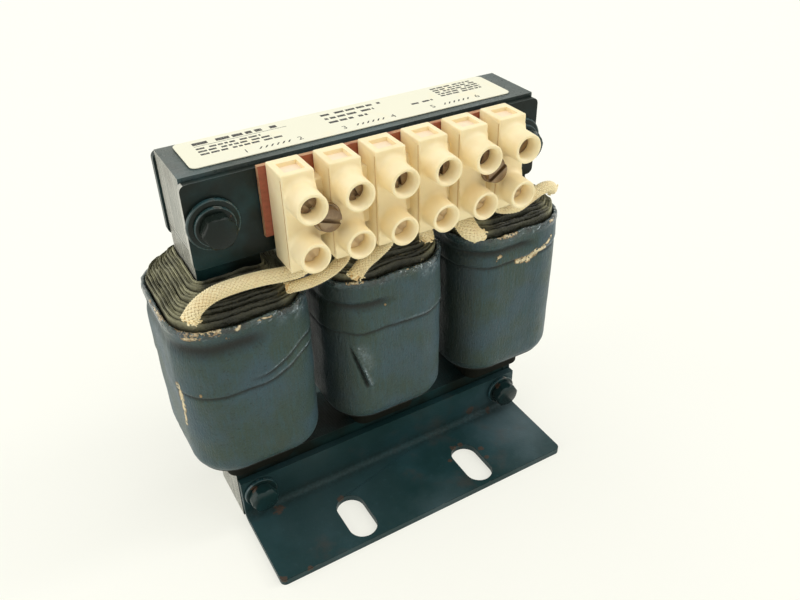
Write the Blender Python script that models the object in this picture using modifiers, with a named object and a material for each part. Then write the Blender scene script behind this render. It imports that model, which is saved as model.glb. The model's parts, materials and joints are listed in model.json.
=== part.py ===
"""Three-phase line reactor on two slotted foot angles, with a six-pole terminal strip.

Metres, +Z up. The origin is at the middle of the footprint, on the mounting surface.
X runs along the row of coils, -Y is the terminal side.
"""

from math import cos, pi, radians, sin

import bmesh
import bpy
from mathutils import Matrix, Vector

# Iron core: an E stack that stands on its yoke, and an I stack that closes it
CORE_WIDTH = 0.0911
CORE_DEPTH = 0.0171
CORE_HEIGHT = 0.1040
LEG_WIDTH = 0.0152
YOKE_HEIGHT = 0.0176
GAP_SPACER_THICKNESS = 0.0006

# Clearances between pieces: face to face, round a piece that fits in another, and at a lead's end
SEAT_GAP = 0.00015
FIT_GAP = 0.0003
LEAD_END_GAP = 0.0002

# Through bolts, washers and nuts
BOLT_DIAMETER = 0.0048
BOLT_INSET = 0.00515
UPPER_BOLT_DROP = 0.0108
LOWER_BOLT_RISE = 0.0093
HEX_ACROSS_FLATS = 0.0070
HEX_HEIGHT = 0.0034
HEX_CHAMFER = 0.0005
NUT_FLANGE_DIAMETER = 0.0092
NUT_FLANGE_HEIGHT = 0.0010
BOLT_PROTRUSION = 0.0020
WIDE_WASHER_DIAMETER = 0.0122
WIDE_WASHER_THICKNESS = 0.0012
LOCK_WASHER_DIAMETER = 0.0094
LOCK_WASHER_THICKNESS = 0.0010

# Clamp plates over the upper yoke
CLAMP_OVERHANG = 0.00055
CLAMP_SKIRT = 0.0039
CLAMP_THICKNESS = 0.00175
CLAMP_DROP = 0.0008
CLAMP_CORNER = 0.0016
CLAMP_EDGE = 0.0005

# Foot angles
FOOT_END_SETBACK = 0.00015
FOOT_REACH = 0.0356
FOOT_THICKNESS = 0.0020
FOOT_LEG_HEIGHT = 0.0142
FOOT_BEND_RADIUS = 0.0016
FOOT_CORNER = 0.0015
SLOT_WIDTH = 0.0080
SLOT_LENGTH = 0.0152
SLOT_SPACING = 0.0384
SLOT_EDGE_MARGIN = 0.0014

# Coils: former, layered winding and outer tape wrap
FORMER_WALL = 0.0016
FORMER_CORNER = 0.0033
FORMER_END_CLEARANCE = 0.0010
FORMER_WEDGE_SPACE = 0.0009
COIL_SPACING_GAP = 0.00395
COIL_TOP_GAP = 0.0029
COIL_BOTTOM_GAP = 0.0079
LAYER_COUNT = 6
LAYER_STEP = 0.0013
LAYER_GROOVE_SHARE = 0.3
LAYER_GROOVE_DEPTH = 0.0009
WRAP_THICKNESS = 0.0009
WRAP_TOP_DROP = 0.0080
WRAP_BULGE = 0.0007
WRAP_BOTTOM_BEND = 0.0046
WRAP_LIP_SETBACK = 0.0016
WRAP_RIM_CHAMFER = 0.0003
LEAST_BEND = 0.0002

# Terminal strip on its insulating sheet, which fills the room between the upper bolts
POLE_COUNT = 6
POLE_WIDTH = 0.0075
STRIP_LEFT_ROOM = 0.0127
STRIP_RIGHT_ROOM = 0.0059
STRIP_HEIGHT = 0.0234
STRIP_TOP_RISE = 0.0008
STRIP_DEPTH = 0.0085
WEB_DEPTH = 0.0042
WEB_HEIGHT = 0.0140
TUBE_DIAMETER = 0.0074
TUBE_BORE = 0.0052
TUBE_SPACING = 0.0120
TUBE_ROOT = 0.0008
UPPER_TUBE_LENGTH = 0.0065
LOWER_TUBE_LENGTH = 0.0059
ENTRY_WIDTH = 0.0042
ENTRY_LAND = 0.0019
SHEET_THICKNESS = 0.00125
SHEET_HEIGHT = 0.0170
SHEET_TOP_DROP = 0.0001
SHEET_LEFT_MARGIN = 0.0017
SHEET_RIGHT_SETBACK = 0.0006

# Brass inserts and their screws
INSERT_WIDTH = 0.0050
INSERT_CORNER = 0.0004
INSERT_BORE = 0.0028
INSERT_OVERHANG = 0.0034
INSERT_FRONT_DISTANCE = 0.0012
CLAMP_SCREW_HEAD = 0.0045
CLAMP_SCREW_HEAD_HEIGHT = 0.0026
CLAMP_SCREW_SHANK = 0.0024
CLAMP_SCREW_SLOT_WIDTH = 0.0009
CLAMP_SCREW_SLOT_DEPTH = 0.0011
CLAMP_SCREW_RECESS = 0.0033
CLAMP_SCREW_FIRST_TURN = 48
CLAMP_SCREW_TURN_STEP = 11
MOUNT_SCREW_HEAD = 0.0056
MOUNT_SCREW_HEAD_HEIGHT = 0.0018
MOUNT_SCREW_SHANK = 0.0028
MOUNT_SCREW_FLANGE = 0.0066
MOUNT_SCREW_FLANGE_HEIGHT = 0.0007
MOUNT_SCREW_SLOT_WIDTH = 0.0010
MOUNT_SCREW_SLOT_DEPTH = 0.0010
MOUNT_SCREW_TURNS = (20, -35)

# Coil leads: a braided sleeve that ends as a bare conductor inside the insert
CONDUCTOR_DIAMETER = 0.0016
CONDUCTOR_REACH = 0.0062
LEAD_POINTS_PER_STRETCH = 2
LEAD_BEVEL_RESOLUTION = 2
SLEEVE_RISE = 0.0018

# Rating label on top of the core
LABEL_END_MARGIN = 0.00435
LABEL_SIDE_MARGIN = 0.00145
LABEL_THICKNESS = 0.0002
LABEL_CORNER = 0.0015
LABEL_SHIFT_X = -0.0006
LABEL_SHIFT_Y = 0.0007

# Facets of round shapes
ROUND_SIDES = 18
SMALL_SIDES = 10
ARC_STEPS = 4
CORNER_STEPS = 2
BULGE_STEPS = 4
SHARP_ANGLE = 35
MERGE_DISTANCE = 1e-6

CORE_HALF_DEPTH = CORE_DEPTH / 2
LEG_SPACING = (CORE_WIDTH - LEG_WIDTH) / 2
SPACER_TOP = CORE_HEIGHT - YOKE_HEIGHT - SEAT_GAP
SPACER_BOTTOM = SPACER_TOP - GAP_SPACER_THICKNESS
LEG_TOP = SPACER_BOTTOM - SEAT_GAP
BOLT_X = CORE_WIDTH / 2 - BOLT_INSET
UPPER_BOLT_Z = CORE_HEIGHT - UPPER_BOLT_DROP
BOLT_HOLE = BOLT_DIAMETER + 2 * FIT_GAP
CLAMP_WIDTH = CORE_WIDTH + 2 * CLAMP_OVERHANG
CLAMP_HEIGHT = YOKE_HEIGHT - CLAMP_DROP + CLAMP_SKIRT
CLAMP_FACE = CORE_HALF_DEPTH + SEAT_GAP + CLAMP_THICKNESS
CLAMP_BOTTOM = CORE_HEIGHT - CLAMP_DROP - CLAMP_HEIGHT
CLAMP_CENTRE_Z = CLAMP_BOTTOM + CLAMP_HEIGHT / 2
FOOT_WIDTH = CORE_WIDTH - 2 * FOOT_END_SETBACK
FOOT_BACK = CORE_HALF_DEPTH + SEAT_GAP
FOOT_FACE = FOOT_BACK + FOOT_THICKNESS
SLOT_CENTRE_REACH = FOOT_REACH - SLOT_EDGE_MARGIN - SLOT_LENGTH / 2
WRAP_HALF_X = (LEG_SPACING - COIL_SPACING_GAP) / 2
WINDING_HALF_X = WRAP_HALF_X - WRAP_THICKNESS - FIT_GAP
FORMER_HALF_X = LEG_WIDTH / 2 + FIT_GAP + FORMER_WALL
FORMER_HALF_Y = CORE_HALF_DEPTH + FORMER_WEDGE_SPACE + FORMER_WALL
WINDING_DEPTH = WINDING_HALF_X - FORMER_HALF_X - FIT_GAP
LAYER_THICKNESS = WINDING_DEPTH / LAYER_COUNT
WINDING_HALF_Y = FORMER_HALF_Y + FIT_GAP + WINDING_DEPTH
WRAP_HALF_Y = WINDING_HALF_Y + FIT_GAP + WRAP_THICKNESS
WINDING_TOP = CLAMP_BOTTOM - COIL_TOP_GAP
WRAP_TOP = WINDING_TOP - WRAP_TOP_DROP
WRAP_BOTTOM = YOKE_HEIGHT + COIL_BOTTOM_GAP
WRAP_LIP = WINDING_DEPTH + FIT_GAP + WRAP_THICKNESS - WRAP_LIP_SETBACK
WRAP_BOTTOM_RADIUS = min(WRAP_BOTTOM_BEND, WRAP_LIP - LEAST_BEND)
WINDING_CORNER = FORMER_CORNER + FIT_GAP + WINDING_DEPTH
WRAP_CORNER = WINDING_CORNER + FIT_GAP + WRAP_THICKNESS
SHEET_FACE = CLAMP_FACE + SEAT_GAP + SHEET_THICKNESS
STRIP_BACK = SHEET_FACE + SEAT_GAP
STRIP_FRONT = STRIP_BACK + STRIP_DEPTH
STRIP_TOP = CORE_HEIGHT + STRIP_TOP_RISE
STRIP_BOTTOM = STRIP_TOP - STRIP_HEIGHT
STRIP_CENTRE_Z = STRIP_TOP - STRIP_HEIGHT / 2
INSERT_Y = STRIP_FRONT - INSERT_FRONT_DISTANCE - INSERT_WIDTH / 2
INSERT_HALF_HEIGHT = TUBE_SPACING / 2 + INSERT_OVERHANG
FIRST_POLE_X = -BOLT_X + STRIP_LEFT_ROOM + POLE_WIDTH / 2
LAST_POLE_X = BOLT_X - STRIP_RIGHT_ROOM - POLE_WIDTH / 2
POLE_PITCH = (LAST_POLE_X - FIRST_POLE_X) / (POLE_COUNT - 1)
POLE_X = [FIRST_POLE_X + k * POLE_PITCH for k in range(POLE_COUNT)]
MOUNT_SCREW_X = [(POLE_X[0] + POLE_X[1]) / 2, (POLE_X[-2] + POLE_X[-1]) / 2]

# Turns that carry a flat outline, drawn in X and Y, onto the plane where it belongs
FACING_UP = Matrix.Identity(3)
FACING_FRONT = Matrix(((1, 0, 0), (0, 0, -1), (0, 1, 0)))
FACING_SIDE = Matrix(((0, 0, 1), (1, 0, 0), (0, 1, 0)))

# Routes of the six sleeved leads from their coil up to the mouth of their pole, and their widths.
# X is from the coil's middle, Y from the front and Z from the top of its winding.
LEAD_ROUTES = {
    "lead_left_start": (
        0.0047,
        [
            (-0.0132, 0.0005, -0.0050),
            (-0.0108, 0.0008, -0.0020),
            (-0.0067, 0.0014, -0.0003),
            (-0.0014, 0.0015, 0.0002),
            (0.0049, 0.0014, 0.0000),
            (0.0103, 0.0012, -0.0006),
        ],
    ),
    "lead_left_end": (
        0.0033,
        [
            (0.0075, -0.0022, -0.0054),
            (0.0099, -0.0026, -0.0044),
            (0.0141, -0.0028, -0.0034),
            (0.0189, -0.0016, -0.0027),
            (0.0225, -0.0003, -0.0016),
        ],
    ),
    "lead_centre_start": (
        0.0038,
        [
            (-0.0126, -0.0020, -0.0058),
            (-0.0110, -0.0014, -0.0046),
            (-0.0086, -0.0006, -0.0032),
            (-0.0054, -0.0000, -0.0020),
        ],
    ),
    "lead_centre_end": (
        0.0038,
        [
            (0.0096, 0.0008, -0.0034),
            (0.0092, 0.0006, -0.0012),
        ],
    ),
    "lead_right_start": (
        0.0040,
        [
            (-0.0133, -0.0010, -0.0058),
            (-0.0153, -0.0016, -0.0048),
            (-0.0171, -0.0012, -0.0030),
        ],
    ),
    "lead_right_end": (
        0.0036,
        [
            (0.0137, 0.0050, -0.0030),
            (0.0122, 0.0037, -0.0010),
            (0.0094, 0.0027, 0.0000),
            (0.0060, 0.0021, -0.0003),
            (0.0021, 0.0014, -0.0012),
            (-0.0021, 0.0003, -0.0014),
        ],
    ),
}


def clear_scene():
    for item in list(bpy.data.objects):
        bpy.data.objects.remove(item, do_unlink=True)


def new_collection(name):
    collection = bpy.data.collections.new(name)
    bpy.context.scene.collection.children.link(collection)
    return collection


def finish(name, colour, roughness, metallic=0.0):
    """The surface finish of that name, made on its first use."""
    if name in bpy.data.materials:
        return bpy.data.materials[name]
    material = bpy.data.materials.new(name)
    material.use_nodes = True
    shader = material.node_tree.nodes["Principled BSDF"]
    shader.inputs["Base Color"].default_value = (*colour, 1.0)
    shader.inputs["Roughness"].default_value = roughness
    shader.inputs["Metallic"].default_value = metallic
    material.diffuse_color = (*colour, 1.0)
    return material


def core_paint():
    return finish("core_paint", (0.030, 0.055, 0.062), 0.42)


def fastener_steel():
    return finish("fastener_steel", (0.035, 0.060, 0.070), 0.38, 0.3)


def bright_steel():
    return finish("bright_steel", (0.32, 0.32, 0.31), 0.35, 0.9)


def winding_varnish():
    return finish("winding_varnish", (0.060, 0.058, 0.045), 0.55)


def wrap_varnish():
    return finish("wrap_varnish", (0.085, 0.125, 0.140), 0.35)


def former_board():
    return finish("former_board", (0.16, 0.12, 0.07), 0.8)


def red_fibre():
    return finish("red_fibre", (0.38, 0.10, 0.055), 0.7)


def cream_moulding():
    return finish("cream_moulding", (0.80, 0.66, 0.45), 0.5)


def sleeve_braid():
    return finish("sleeve_braid", (0.72, 0.62, 0.38), 0.85)


def label_film():
    return finish("label_film", (0.86, 0.82, 0.66), 0.5)


def insert_brass():
    return finish("insert_brass", (0.50, 0.36, 0.14), 0.35, 1.0)


def object_of(name, mesh, location=(0, 0, 0), turn=None):
    item = bpy.data.objects.new(name, mesh)
    item.location = location
    if turn is not None:
        item.rotation_euler = turn
    return item


def add_part(name, mesh, material, location=(0, 0, 0), turn=None, smooth=False):
    """One named piece of the reactor, under the frame's empty."""
    if not mesh.materials:
        mesh.materials.append(material)
    if smooth:
        mesh.shade_smooth()
        mesh.set_sharp_from_angle(angle=radians(SHARP_ANGLE))
    part = object_of(name, mesh, location, turn)
    parts.objects.link(part)
    part.parent = frame
    return part


def add_cutter(name, mesh, location=(0, 0, 0), collection=None):
    cutter = object_of(name, mesh, location)
    (collection or cutters).objects.link(cutter)
    cutter.hide_render = True
    cutter.display_type = "WIRE"
    cutter.parent = frame
    return cutter


def mesh_from(build):
    """A mesh filled by a function that works on a bmesh."""
    mesh = bpy.data.meshes.new("shape")
    shape = bmesh.new()
    build(shape)
    shape.to_mesh(mesh)
    shape.free()
    return mesh


def block(size, centre=(0, 0, 0)):
    matrix = Matrix.Translation(centre) @ Matrix.Diagonal((*size, 1.0))
    return mesh_from(lambda shape: bmesh.ops.create_cube(shape, size=1.0, matrix=matrix))


def rod(diameter, front, back, sides=ROUND_SIDES):
    """A round bar along Y, from y = front to y = back, centred on x = z = 0."""
    matrix = Matrix.Translation((0, (front + back) / 2, 0)) @ FACING_FRONT.to_4x4()

    def build(shape):
        bmesh.ops.create_cone(
            shape,
            cap_ends=True,
            segments=sides,
            radius1=diameter / 2,
            radius2=diameter / 2,
            depth=abs(back - front),
            matrix=matrix,
        )

    return mesh_from(build)


def circle(diameter, sides=ROUND_SIDES, centre=(0, 0)):
    turn = pi / sides
    return [
        (
            centre[0] + diameter / 2 * cos(2 * pi * k / sides + turn),
            centre[1] + diameter / 2 * sin(2 * pi * k / sides + turn),
        )
        for k in range(sides)
    ]


def rounded_rectangle(half_x, half_y, corner, steps=ARC_STEPS, centre=(0, 0)):
    points = []
    for quarter in range(4):
        side_x = (1, -1, -1, 1)[quarter]
        side_y = (1, 1, -1, -1)[quarter]
        for k in range(steps + 1):
            angle = pi / 2 * (quarter + k / steps)
            x = side_x * (half_x - corner) + corner * cos(angle)
            y = side_y * (half_y - corner) + corner * sin(angle)
            points.append((centre[0] + x, centre[1] + y))
    return points


def arc(centre, radius, start, end, steps=ARC_STEPS):
    angles = [radians(start + (end - start) * k / steps) for k in range(steps + 1)]
    return [(centre[0] + radius * cos(a), centre[1] + radius * sin(a)) for a in angles]


def new_curve(name, loops, dimensions="2D", cyclic=True):
    curve = bpy.data.curves.new(name, "CURVE")
    curve.dimensions = dimensions
    for loop in loops:
        spline = curve.splines.new("POLY")
        spline.points.add(len(loop) - 1)
        for point, place in zip(spline.points, loop):
            point.co = (*place, *([0.0] * (3 - len(place))), 1.0)
        spline.use_cyclic_u = cyclic
    return curve


def mesh_of_curve(curve, helper=None):
    """The mesh that a curve makes, with its caps joined on and its faces pointing out."""
    holder = bpy.data.objects.new("outline", curve)
    parts.objects.link(holder)
    bpy.context.view_layer.update()
    graph = bpy.context.evaluated_depsgraph_get()
    mesh = bpy.data.meshes.new_from_object(holder.evaluated_get(graph))
    bpy.data.objects.remove(holder, do_unlink=True)
    if helper:
        bpy.data.objects.remove(helper, do_unlink=True)
    shape = bmesh.new()
    shape.from_mesh(mesh)
    bmesh.ops.remove_doubles(shape, verts=shape.verts, dist=MERGE_DISTANCE)
    bmesh.ops.recalc_face_normals(shape, faces=shape.faces)
    shape.to_mesh(mesh)
    shape.free()
    return mesh


def sheet_metal(loops, thickness, facing=FACING_UP):
    """A flat outline with its holes, given a thickness about its own plane."""
    curve = new_curve("outline", loops)
    curve.fill_mode = "BOTH"
    curve.extrude = thickness / 2
    mesh = mesh_of_curve(curve)
    mesh.transform(facing.to_4x4())
    return mesh


def ring_about_leg(half_x, half_y, corner, section):
    """A closed ring round a coil's axis: the section, as (inset, height), follows a rounded rectangle."""
    profile = new_curve("section", [[(-inset, height) for inset, height in section]])
    profile_object = bpy.data.objects.new("section", profile)
    cutters.objects.link(profile_object)
    path = new_curve("path", [rounded_rectangle(half_x, half_y, corner)], "3D")
    path.twist_mode = "Z_UP"
    path.bevel_mode = "OBJECT"
    path.bevel_object = profile_object
    return mesh_of_curve(path, profile_object)


def modify(item, operation, others):
    """A Boolean with each of the other objects, or with a whole collection of them."""
    modifier = item.modifiers.new(operation.lower(), "BOOLEAN")
    modifier.operation = operation
    modifier.solver = "EXACT"
    if isinstance(others, bpy.types.Collection):
        modifier.operand_type = "COLLECTION"
        modifier.collection = others
    else:
        modifier.object = others


def cutter_group(name):
    group = bpy.data.collections.new(name)
    cutters.children.link(group)
    return group


def core_stacks():
    half = CORE_WIDTH / 2
    inner = LEG_WIDTH / 2
    window = LEG_SPACING - inner
    e_outline = [
        (-half, 0),
        (half, 0),
        (half, LEG_TOP),
        (window, LEG_TOP),
        (window, YOKE_HEIGHT),
        (inner, YOKE_HEIGHT),
        (inner, LEG_TOP),
        (-inner, LEG_TOP),
        (-inner, YOKE_HEIGHT),
        (-window, YOKE_HEIGHT),
        (-window, LEG_TOP),
        (-half, LEG_TOP),
    ]
    lower_holes = [circle(BOLT_HOLE, centre=(side * BOLT_X, LOWER_BOLT_RISE)) for side in (-1, 1)]
    e_mesh = sheet_metal([e_outline, *lower_holes], CORE_DEPTH, FACING_FRONT)
    add_part("core_e_stack", e_mesh, core_paint())

    yoke_bottom = CORE_HEIGHT - YOKE_HEIGHT
    i_outline = [(-half, yoke_bottom), (half, yoke_bottom), (half, CORE_HEIGHT), (-half, CORE_HEIGHT)]
    upper_holes = [circle(BOLT_HOLE, centre=(side * BOLT_X, UPPER_BOLT_Z)) for side in (-1, 1)]
    i_mesh = sheet_metal([i_outline, *upper_holes], CORE_DEPTH, FACING_FRONT)
    add_part("core_i_stack", i_mesh, core_paint())

    spacer_size = (CORE_WIDTH, CORE_DEPTH, GAP_SPACER_THICKNESS)
    spacer_centre = (0, 0, (SPACER_TOP + SPACER_BOTTOM) / 2)
    add_part("gap_spacer", block(spacer_size, spacer_centre), former_board())


def clamp_plates():
    """Flat bars with soft corners and edges; the front one is tapped for the strip's screws."""
    middle = CLAMP_FACE - CLAMP_THICKNESS / 2
    outline = rounded_rectangle(CLAMP_WIDTH / 2, CLAMP_HEIGHT / 2, CLAMP_CORNER, CORNER_STEPS)
    for name, side, screws in (("clamp_plate_front", -1, MOUNT_SCREW_X), ("clamp_plate_rear", 1, [])):
        mesh = sheet_metal([outline], CLAMP_THICKNESS, FACING_FRONT)
        plate = add_part(name, mesh, core_paint(), (0, side * middle, CLAMP_CENTRE_Z))
        edge = plate.modifiers.new("rolled_edge", "BEVEL")
        edge.width = CLAMP_EDGE
        edge.segments = 2
        edge.limit_method = "ANGLE"
        edge.angle_limit = radians(60)
        holes = cutter_group(name + "_holes")
        front, back = side * middle - CLAMP_THICKNESS, side * middle + CLAMP_THICKNESS
        for x in (-BOLT_X, BOLT_X):
            add_cutter("bolt_hole", rod(BOLT_HOLE, front, back), (x, 0, UPPER_BOLT_Z), holes)
        for x in screws:
            thread = rod(MOUNT_SCREW_SHANK + 2 * FIT_GAP, front, back, SMALL_SIDES)
            add_cutter("screw_hole", thread, (x, 0, STRIP_CENTRE_Z), holes)
        modify(plate, "DIFFERENCE", holes)


def foot_angle_mesh():
    """The bent section, seen along X, with the flange towards -Y."""
    outer = FOOT_BEND_RADIUS + FOOT_THICKNESS
    outer_centre = (-FOOT_BACK - outer, outer)
    section = [(-FOOT_BACK, FOOT_LEG_HEIGHT)]
    section += arc(outer_centre, outer, 0, -90)
    section += [(-FOOT_REACH, 0), (-FOOT_REACH, FOOT_THICKNESS)]
    section += arc(outer_centre, FOOT_BEND_RADIUS, -90, 0)
    section += [(-FOOT_FACE, FOOT_LEG_HEIGHT)]
    return sheet_metal([section], FOOT_WIDTH, FACING_SIDE)


def foot_angles():
    plan_depth = FOOT_REACH - FOOT_BACK
    plan_height = 2 * FOOT_LEG_HEIGHT
    over = 2 * FOOT_CORNER
    plan = rounded_rectangle(FOOT_WIDTH / 2, (plan_depth + over) / 2, FOOT_CORNER, CORNER_STEPS)
    plan_centre_y = -FOOT_REACH + (plan_depth + over) / 2
    trim = add_cutter("foot_corner_trim", sheet_metal([plan], 2 * plan_height), (0, plan_centre_y, 0))

    openings = cutter_group("foot_openings")
    slot = rounded_rectangle(SLOT_WIDTH / 2, SLOT_LENGTH / 2, SLOT_WIDTH / 2)
    for side in (-1, 1):
        place = (side * SLOT_SPACING / 2, -SLOT_CENTRE_REACH, 0)
        add_cutter("slot_cutter", sheet_metal([slot], 4 * FOOT_THICKNESS), place, openings)
        hole = rod(BOLT_HOLE, -FOOT_FACE - FOOT_THICKNESS, -FOOT_BACK + FOOT_THICKNESS)
        add_cutter("foot_bolt_cutter", hole, (side * BOLT_X, 0, LOWER_BOLT_RISE), openings)

    mesh = foot_angle_mesh()
    front = add_part("foot_angle_front", mesh, core_paint(), smooth=True)
    modify(front, "INTERSECT", trim)
    modify(front, "DIFFERENCE", openings)
    bpy.context.view_layer.update()
    graph = bpy.context.evaluated_depsgraph_get()
    rear_mesh = bpy.data.meshes.new_from_object(front.evaluated_get(graph))
    add_part("foot_angle_rear", rear_mesh, core_paint(), turn=(0, 0, pi))


def hex_mesh(across_flats, front, back, bore=None):
    """A hexagon along Y, from y = front to y = back, with a round hole where it has one."""
    corner = across_flats / cos(pi / 6) / 2
    outline = [(corner * sin(k * pi / 3), corner * cos(k * pi / 3)) for k in range(6)]
    loops = [outline]
    if bore:
        loops.append(circle(bore))
    mesh = sheet_metal(loops, back - front, FACING_FRONT)
    mesh.transform(Matrix.Translation((0, (front + back) / 2, 0)))
    return mesh


def bolt(name, head_seat, rear_seat, x, z):
    """A hexagon bolt: its head's seat faces the front stack, its end stands past the rear nut."""
    head_front = -head_seat - HEX_HEIGHT
    head_middle = -head_seat - HEX_HEIGHT / 2
    shank_back = rear_seat + NUT_FLANGE_HEIGHT + HEX_HEIGHT + BOLT_PROTRUSION
    shank = add_cutter(name + "_shank", rod(BOLT_DIAMETER, head_middle, shank_back), (x, 0, z))
    part = add_part(name, hex_mesh(HEX_ACROSS_FLATS, head_front, -head_seat), fastener_steel(), (x, 0, z))
    edge = part.modifiers.new("head_chamfer", "BEVEL")
    edge.width = HEX_CHAMFER
    edge.segments = 1
    edge.limit_method = "ANGLE"
    edge.angle_limit = radians(80)
    modify(part, "UNION", shank)


def nut(name, seat, x, z):
    """A hexagon nut with its own round flange, on the rear side."""
    flange_middle = seat + NUT_FLANGE_HEIGHT / 2
    flange_loops = [circle(NUT_FLANGE_DIAMETER), circle(BOLT_HOLE)]
    flange_mesh = sheet_metal(flange_loops, NUT_FLANGE_HEIGHT, FACING_FRONT)
    flange_mesh.transform(Matrix.Translation((0, flange_middle, 0)))
    flange = add_cutter(name + "_flange", flange_mesh, (x, 0, z))
    nut_back = seat + NUT_FLANGE_HEIGHT + HEX_HEIGHT
    body = hex_mesh(HEX_ACROSS_FLATS, flange_middle, nut_back, bore=BOLT_HOLE)
    part = add_part(name, body, fastener_steel(), (x, 0, z))
    modify(part, "UNION", flange)


def washer(name, diameter, thickness, seat, x, z):
    """A washer on the front side; it gives the seat for the next piece out."""
    mesh = sheet_metal([circle(diameter), circle(BOLT_HOLE)], thickness, FACING_FRONT)
    add_part(name, mesh, fastener_steel(), (x, -seat - thickness / 2, z), smooth=True)
    return seat + thickness + SEAT_GAP


def through_bolts():
    """Both upper bolts pass the clamp plates on a wide and a lock washer, both lower ones the feet."""
    wide = ("wide_washer", WIDE_WASHER_DIAMETER, WIDE_WASHER_THICKNESS)
    lock = ("lock_washer", LOCK_WASHER_DIAMETER, LOCK_WASHER_THICKNESS)
    rows = (
        ("upper", UPPER_BOLT_Z, CLAMP_FACE + SEAT_GAP, (wide, lock)),
        ("lower", LOWER_BOLT_RISE, FOOT_FACE + SEAT_GAP, (lock,)),
    )
    for row, z, rear_seat, washers in rows:
        for word, x in (("left", -BOLT_X), ("right", BOLT_X)):
            place = "_%s_%s" % (row, word)
            head_seat = rear_seat
            for name, diameter, thickness in washers:
                head_seat = washer(name + place, diameter, thickness, head_seat, x, z)
            bolt("bolt" + place, head_seat, rear_seat, x, z)
            nut("nut" + place, rear_seat, x, z)


def former_mesh():
    bottom = YOKE_HEIGHT + SEAT_GAP
    top = CLAMP_BOTTOM - FORMER_END_CLEARANCE
    section = [(0, bottom), (FORMER_WALL, bottom), (FORMER_WALL, top), (0, top)]
    return ring_about_leg(FORMER_HALF_X, FORMER_HALF_Y, FORMER_CORNER, section)


def winding_mesh():
    """Paper and wire in layers: each one stands a step lower than the one inside it."""
    clearance = WRAP_THICKNESS + FIT_GAP
    bottom = WRAP_BOTTOM + clearance
    bend = max(WRAP_BOTTOM_RADIUS - clearance, LEAST_BEND)
    section = [(WINDING_DEPTH, bottom)]
    section += [(bend - bend * cos(a), bottom + bend - bend * sin(a)) for a in (pi / 2, pi / 4, 0)]
    for layer in range(LAYER_COUNT):
        top = WINDING_TOP - (LAYER_COUNT - 1 - layer) * LAYER_STEP
        inner = (layer + 1) * LAYER_THICKNESS
        section.append((layer * LAYER_THICKNESS, top))
        if layer == LAYER_COUNT - 1:
            section.append((inner, top))
        else:
            groove = inner - LAYER_GROOVE_SHARE * LAYER_THICKNESS
            section.append((groove, top))
            section.append((groove, top - LAYER_GROOVE_DEPTH))
            section.append((inner, top - LAYER_GROOVE_DEPTH))
    return ring_about_leg(WINDING_HALF_X, WINDING_HALF_Y, WINDING_CORNER, section)


def wrap_mesh():
    """The outer tape, open at the top and tucked under the winding at the bottom."""
    radius = WRAP_BOTTOM_RADIUS
    inner = radius - WRAP_THICKNESS
    bend_z = WRAP_BOTTOM + radius
    angles = [pi / 2 * k / ARC_STEPS for k in range(ARC_STEPS + 1)]
    wall_top = WRAP_TOP - WRAP_RIM_CHAMFER
    section = [(WRAP_THICKNESS, WRAP_TOP), (WRAP_RIM_CHAMFER, WRAP_TOP)]
    for k in range(BULGE_STEPS):
        share = k / BULGE_STEPS
        section.append((-WRAP_BULGE * sin(pi * share), wall_top + (bend_z - wall_top) * share))
    section += [(radius - radius * cos(a), bend_z - radius * sin(a)) for a in angles]
    section += [(WRAP_LIP, WRAP_BOTTOM), (WRAP_LIP, WRAP_BOTTOM + WRAP_THICKNESS)]
    section += [(radius - inner * cos(a), bend_z - inner * sin(a)) for a in reversed(angles)]
    return ring_about_leg(WRAP_HALF_X, WRAP_HALF_Y, WRAP_CORNER, section)


def coils():
    pieces = (
        ("coil_former_", former_mesh(), former_board()),
        ("winding_", winding_mesh(), winding_varnish()),
        ("coil_wrap_", wrap_mesh(), wrap_varnish()),
    )
    for word, x in (("left", -LEG_SPACING), ("centre", 0.0), ("right", LEG_SPACING)):
        for name, mesh, material in pieces:
            add_part(name + word, mesh, material, (x, 0, 0), smooth=True)


def fibre_sheet():
    left = POLE_X[0] - POLE_WIDTH / 2 - SHEET_LEFT_MARGIN
    right = POLE_X[-1] + POLE_WIDTH / 2 - SHEET_RIGHT_SETBACK
    top = CORE_HEIGHT - SHEET_TOP_DROP
    bottom = top - SHEET_HEIGHT
    outline = [(left, bottom), (right, bottom), (right, top), (left, top)]
    hole = MOUNT_SCREW_SHANK + 2 * FIT_GAP
    holes = [circle(hole, SMALL_SIDES, (x, STRIP_CENTRE_Z)) for x in MOUNT_SCREW_X]
    mesh = sheet_metal([outline, *holes], SHEET_THICKNESS, FACING_FRONT)
    add_part("fibre_sheet", mesh, red_fibre(), (0, -SHEET_FACE + SHEET_THICKNESS / 2, 0))


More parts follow.
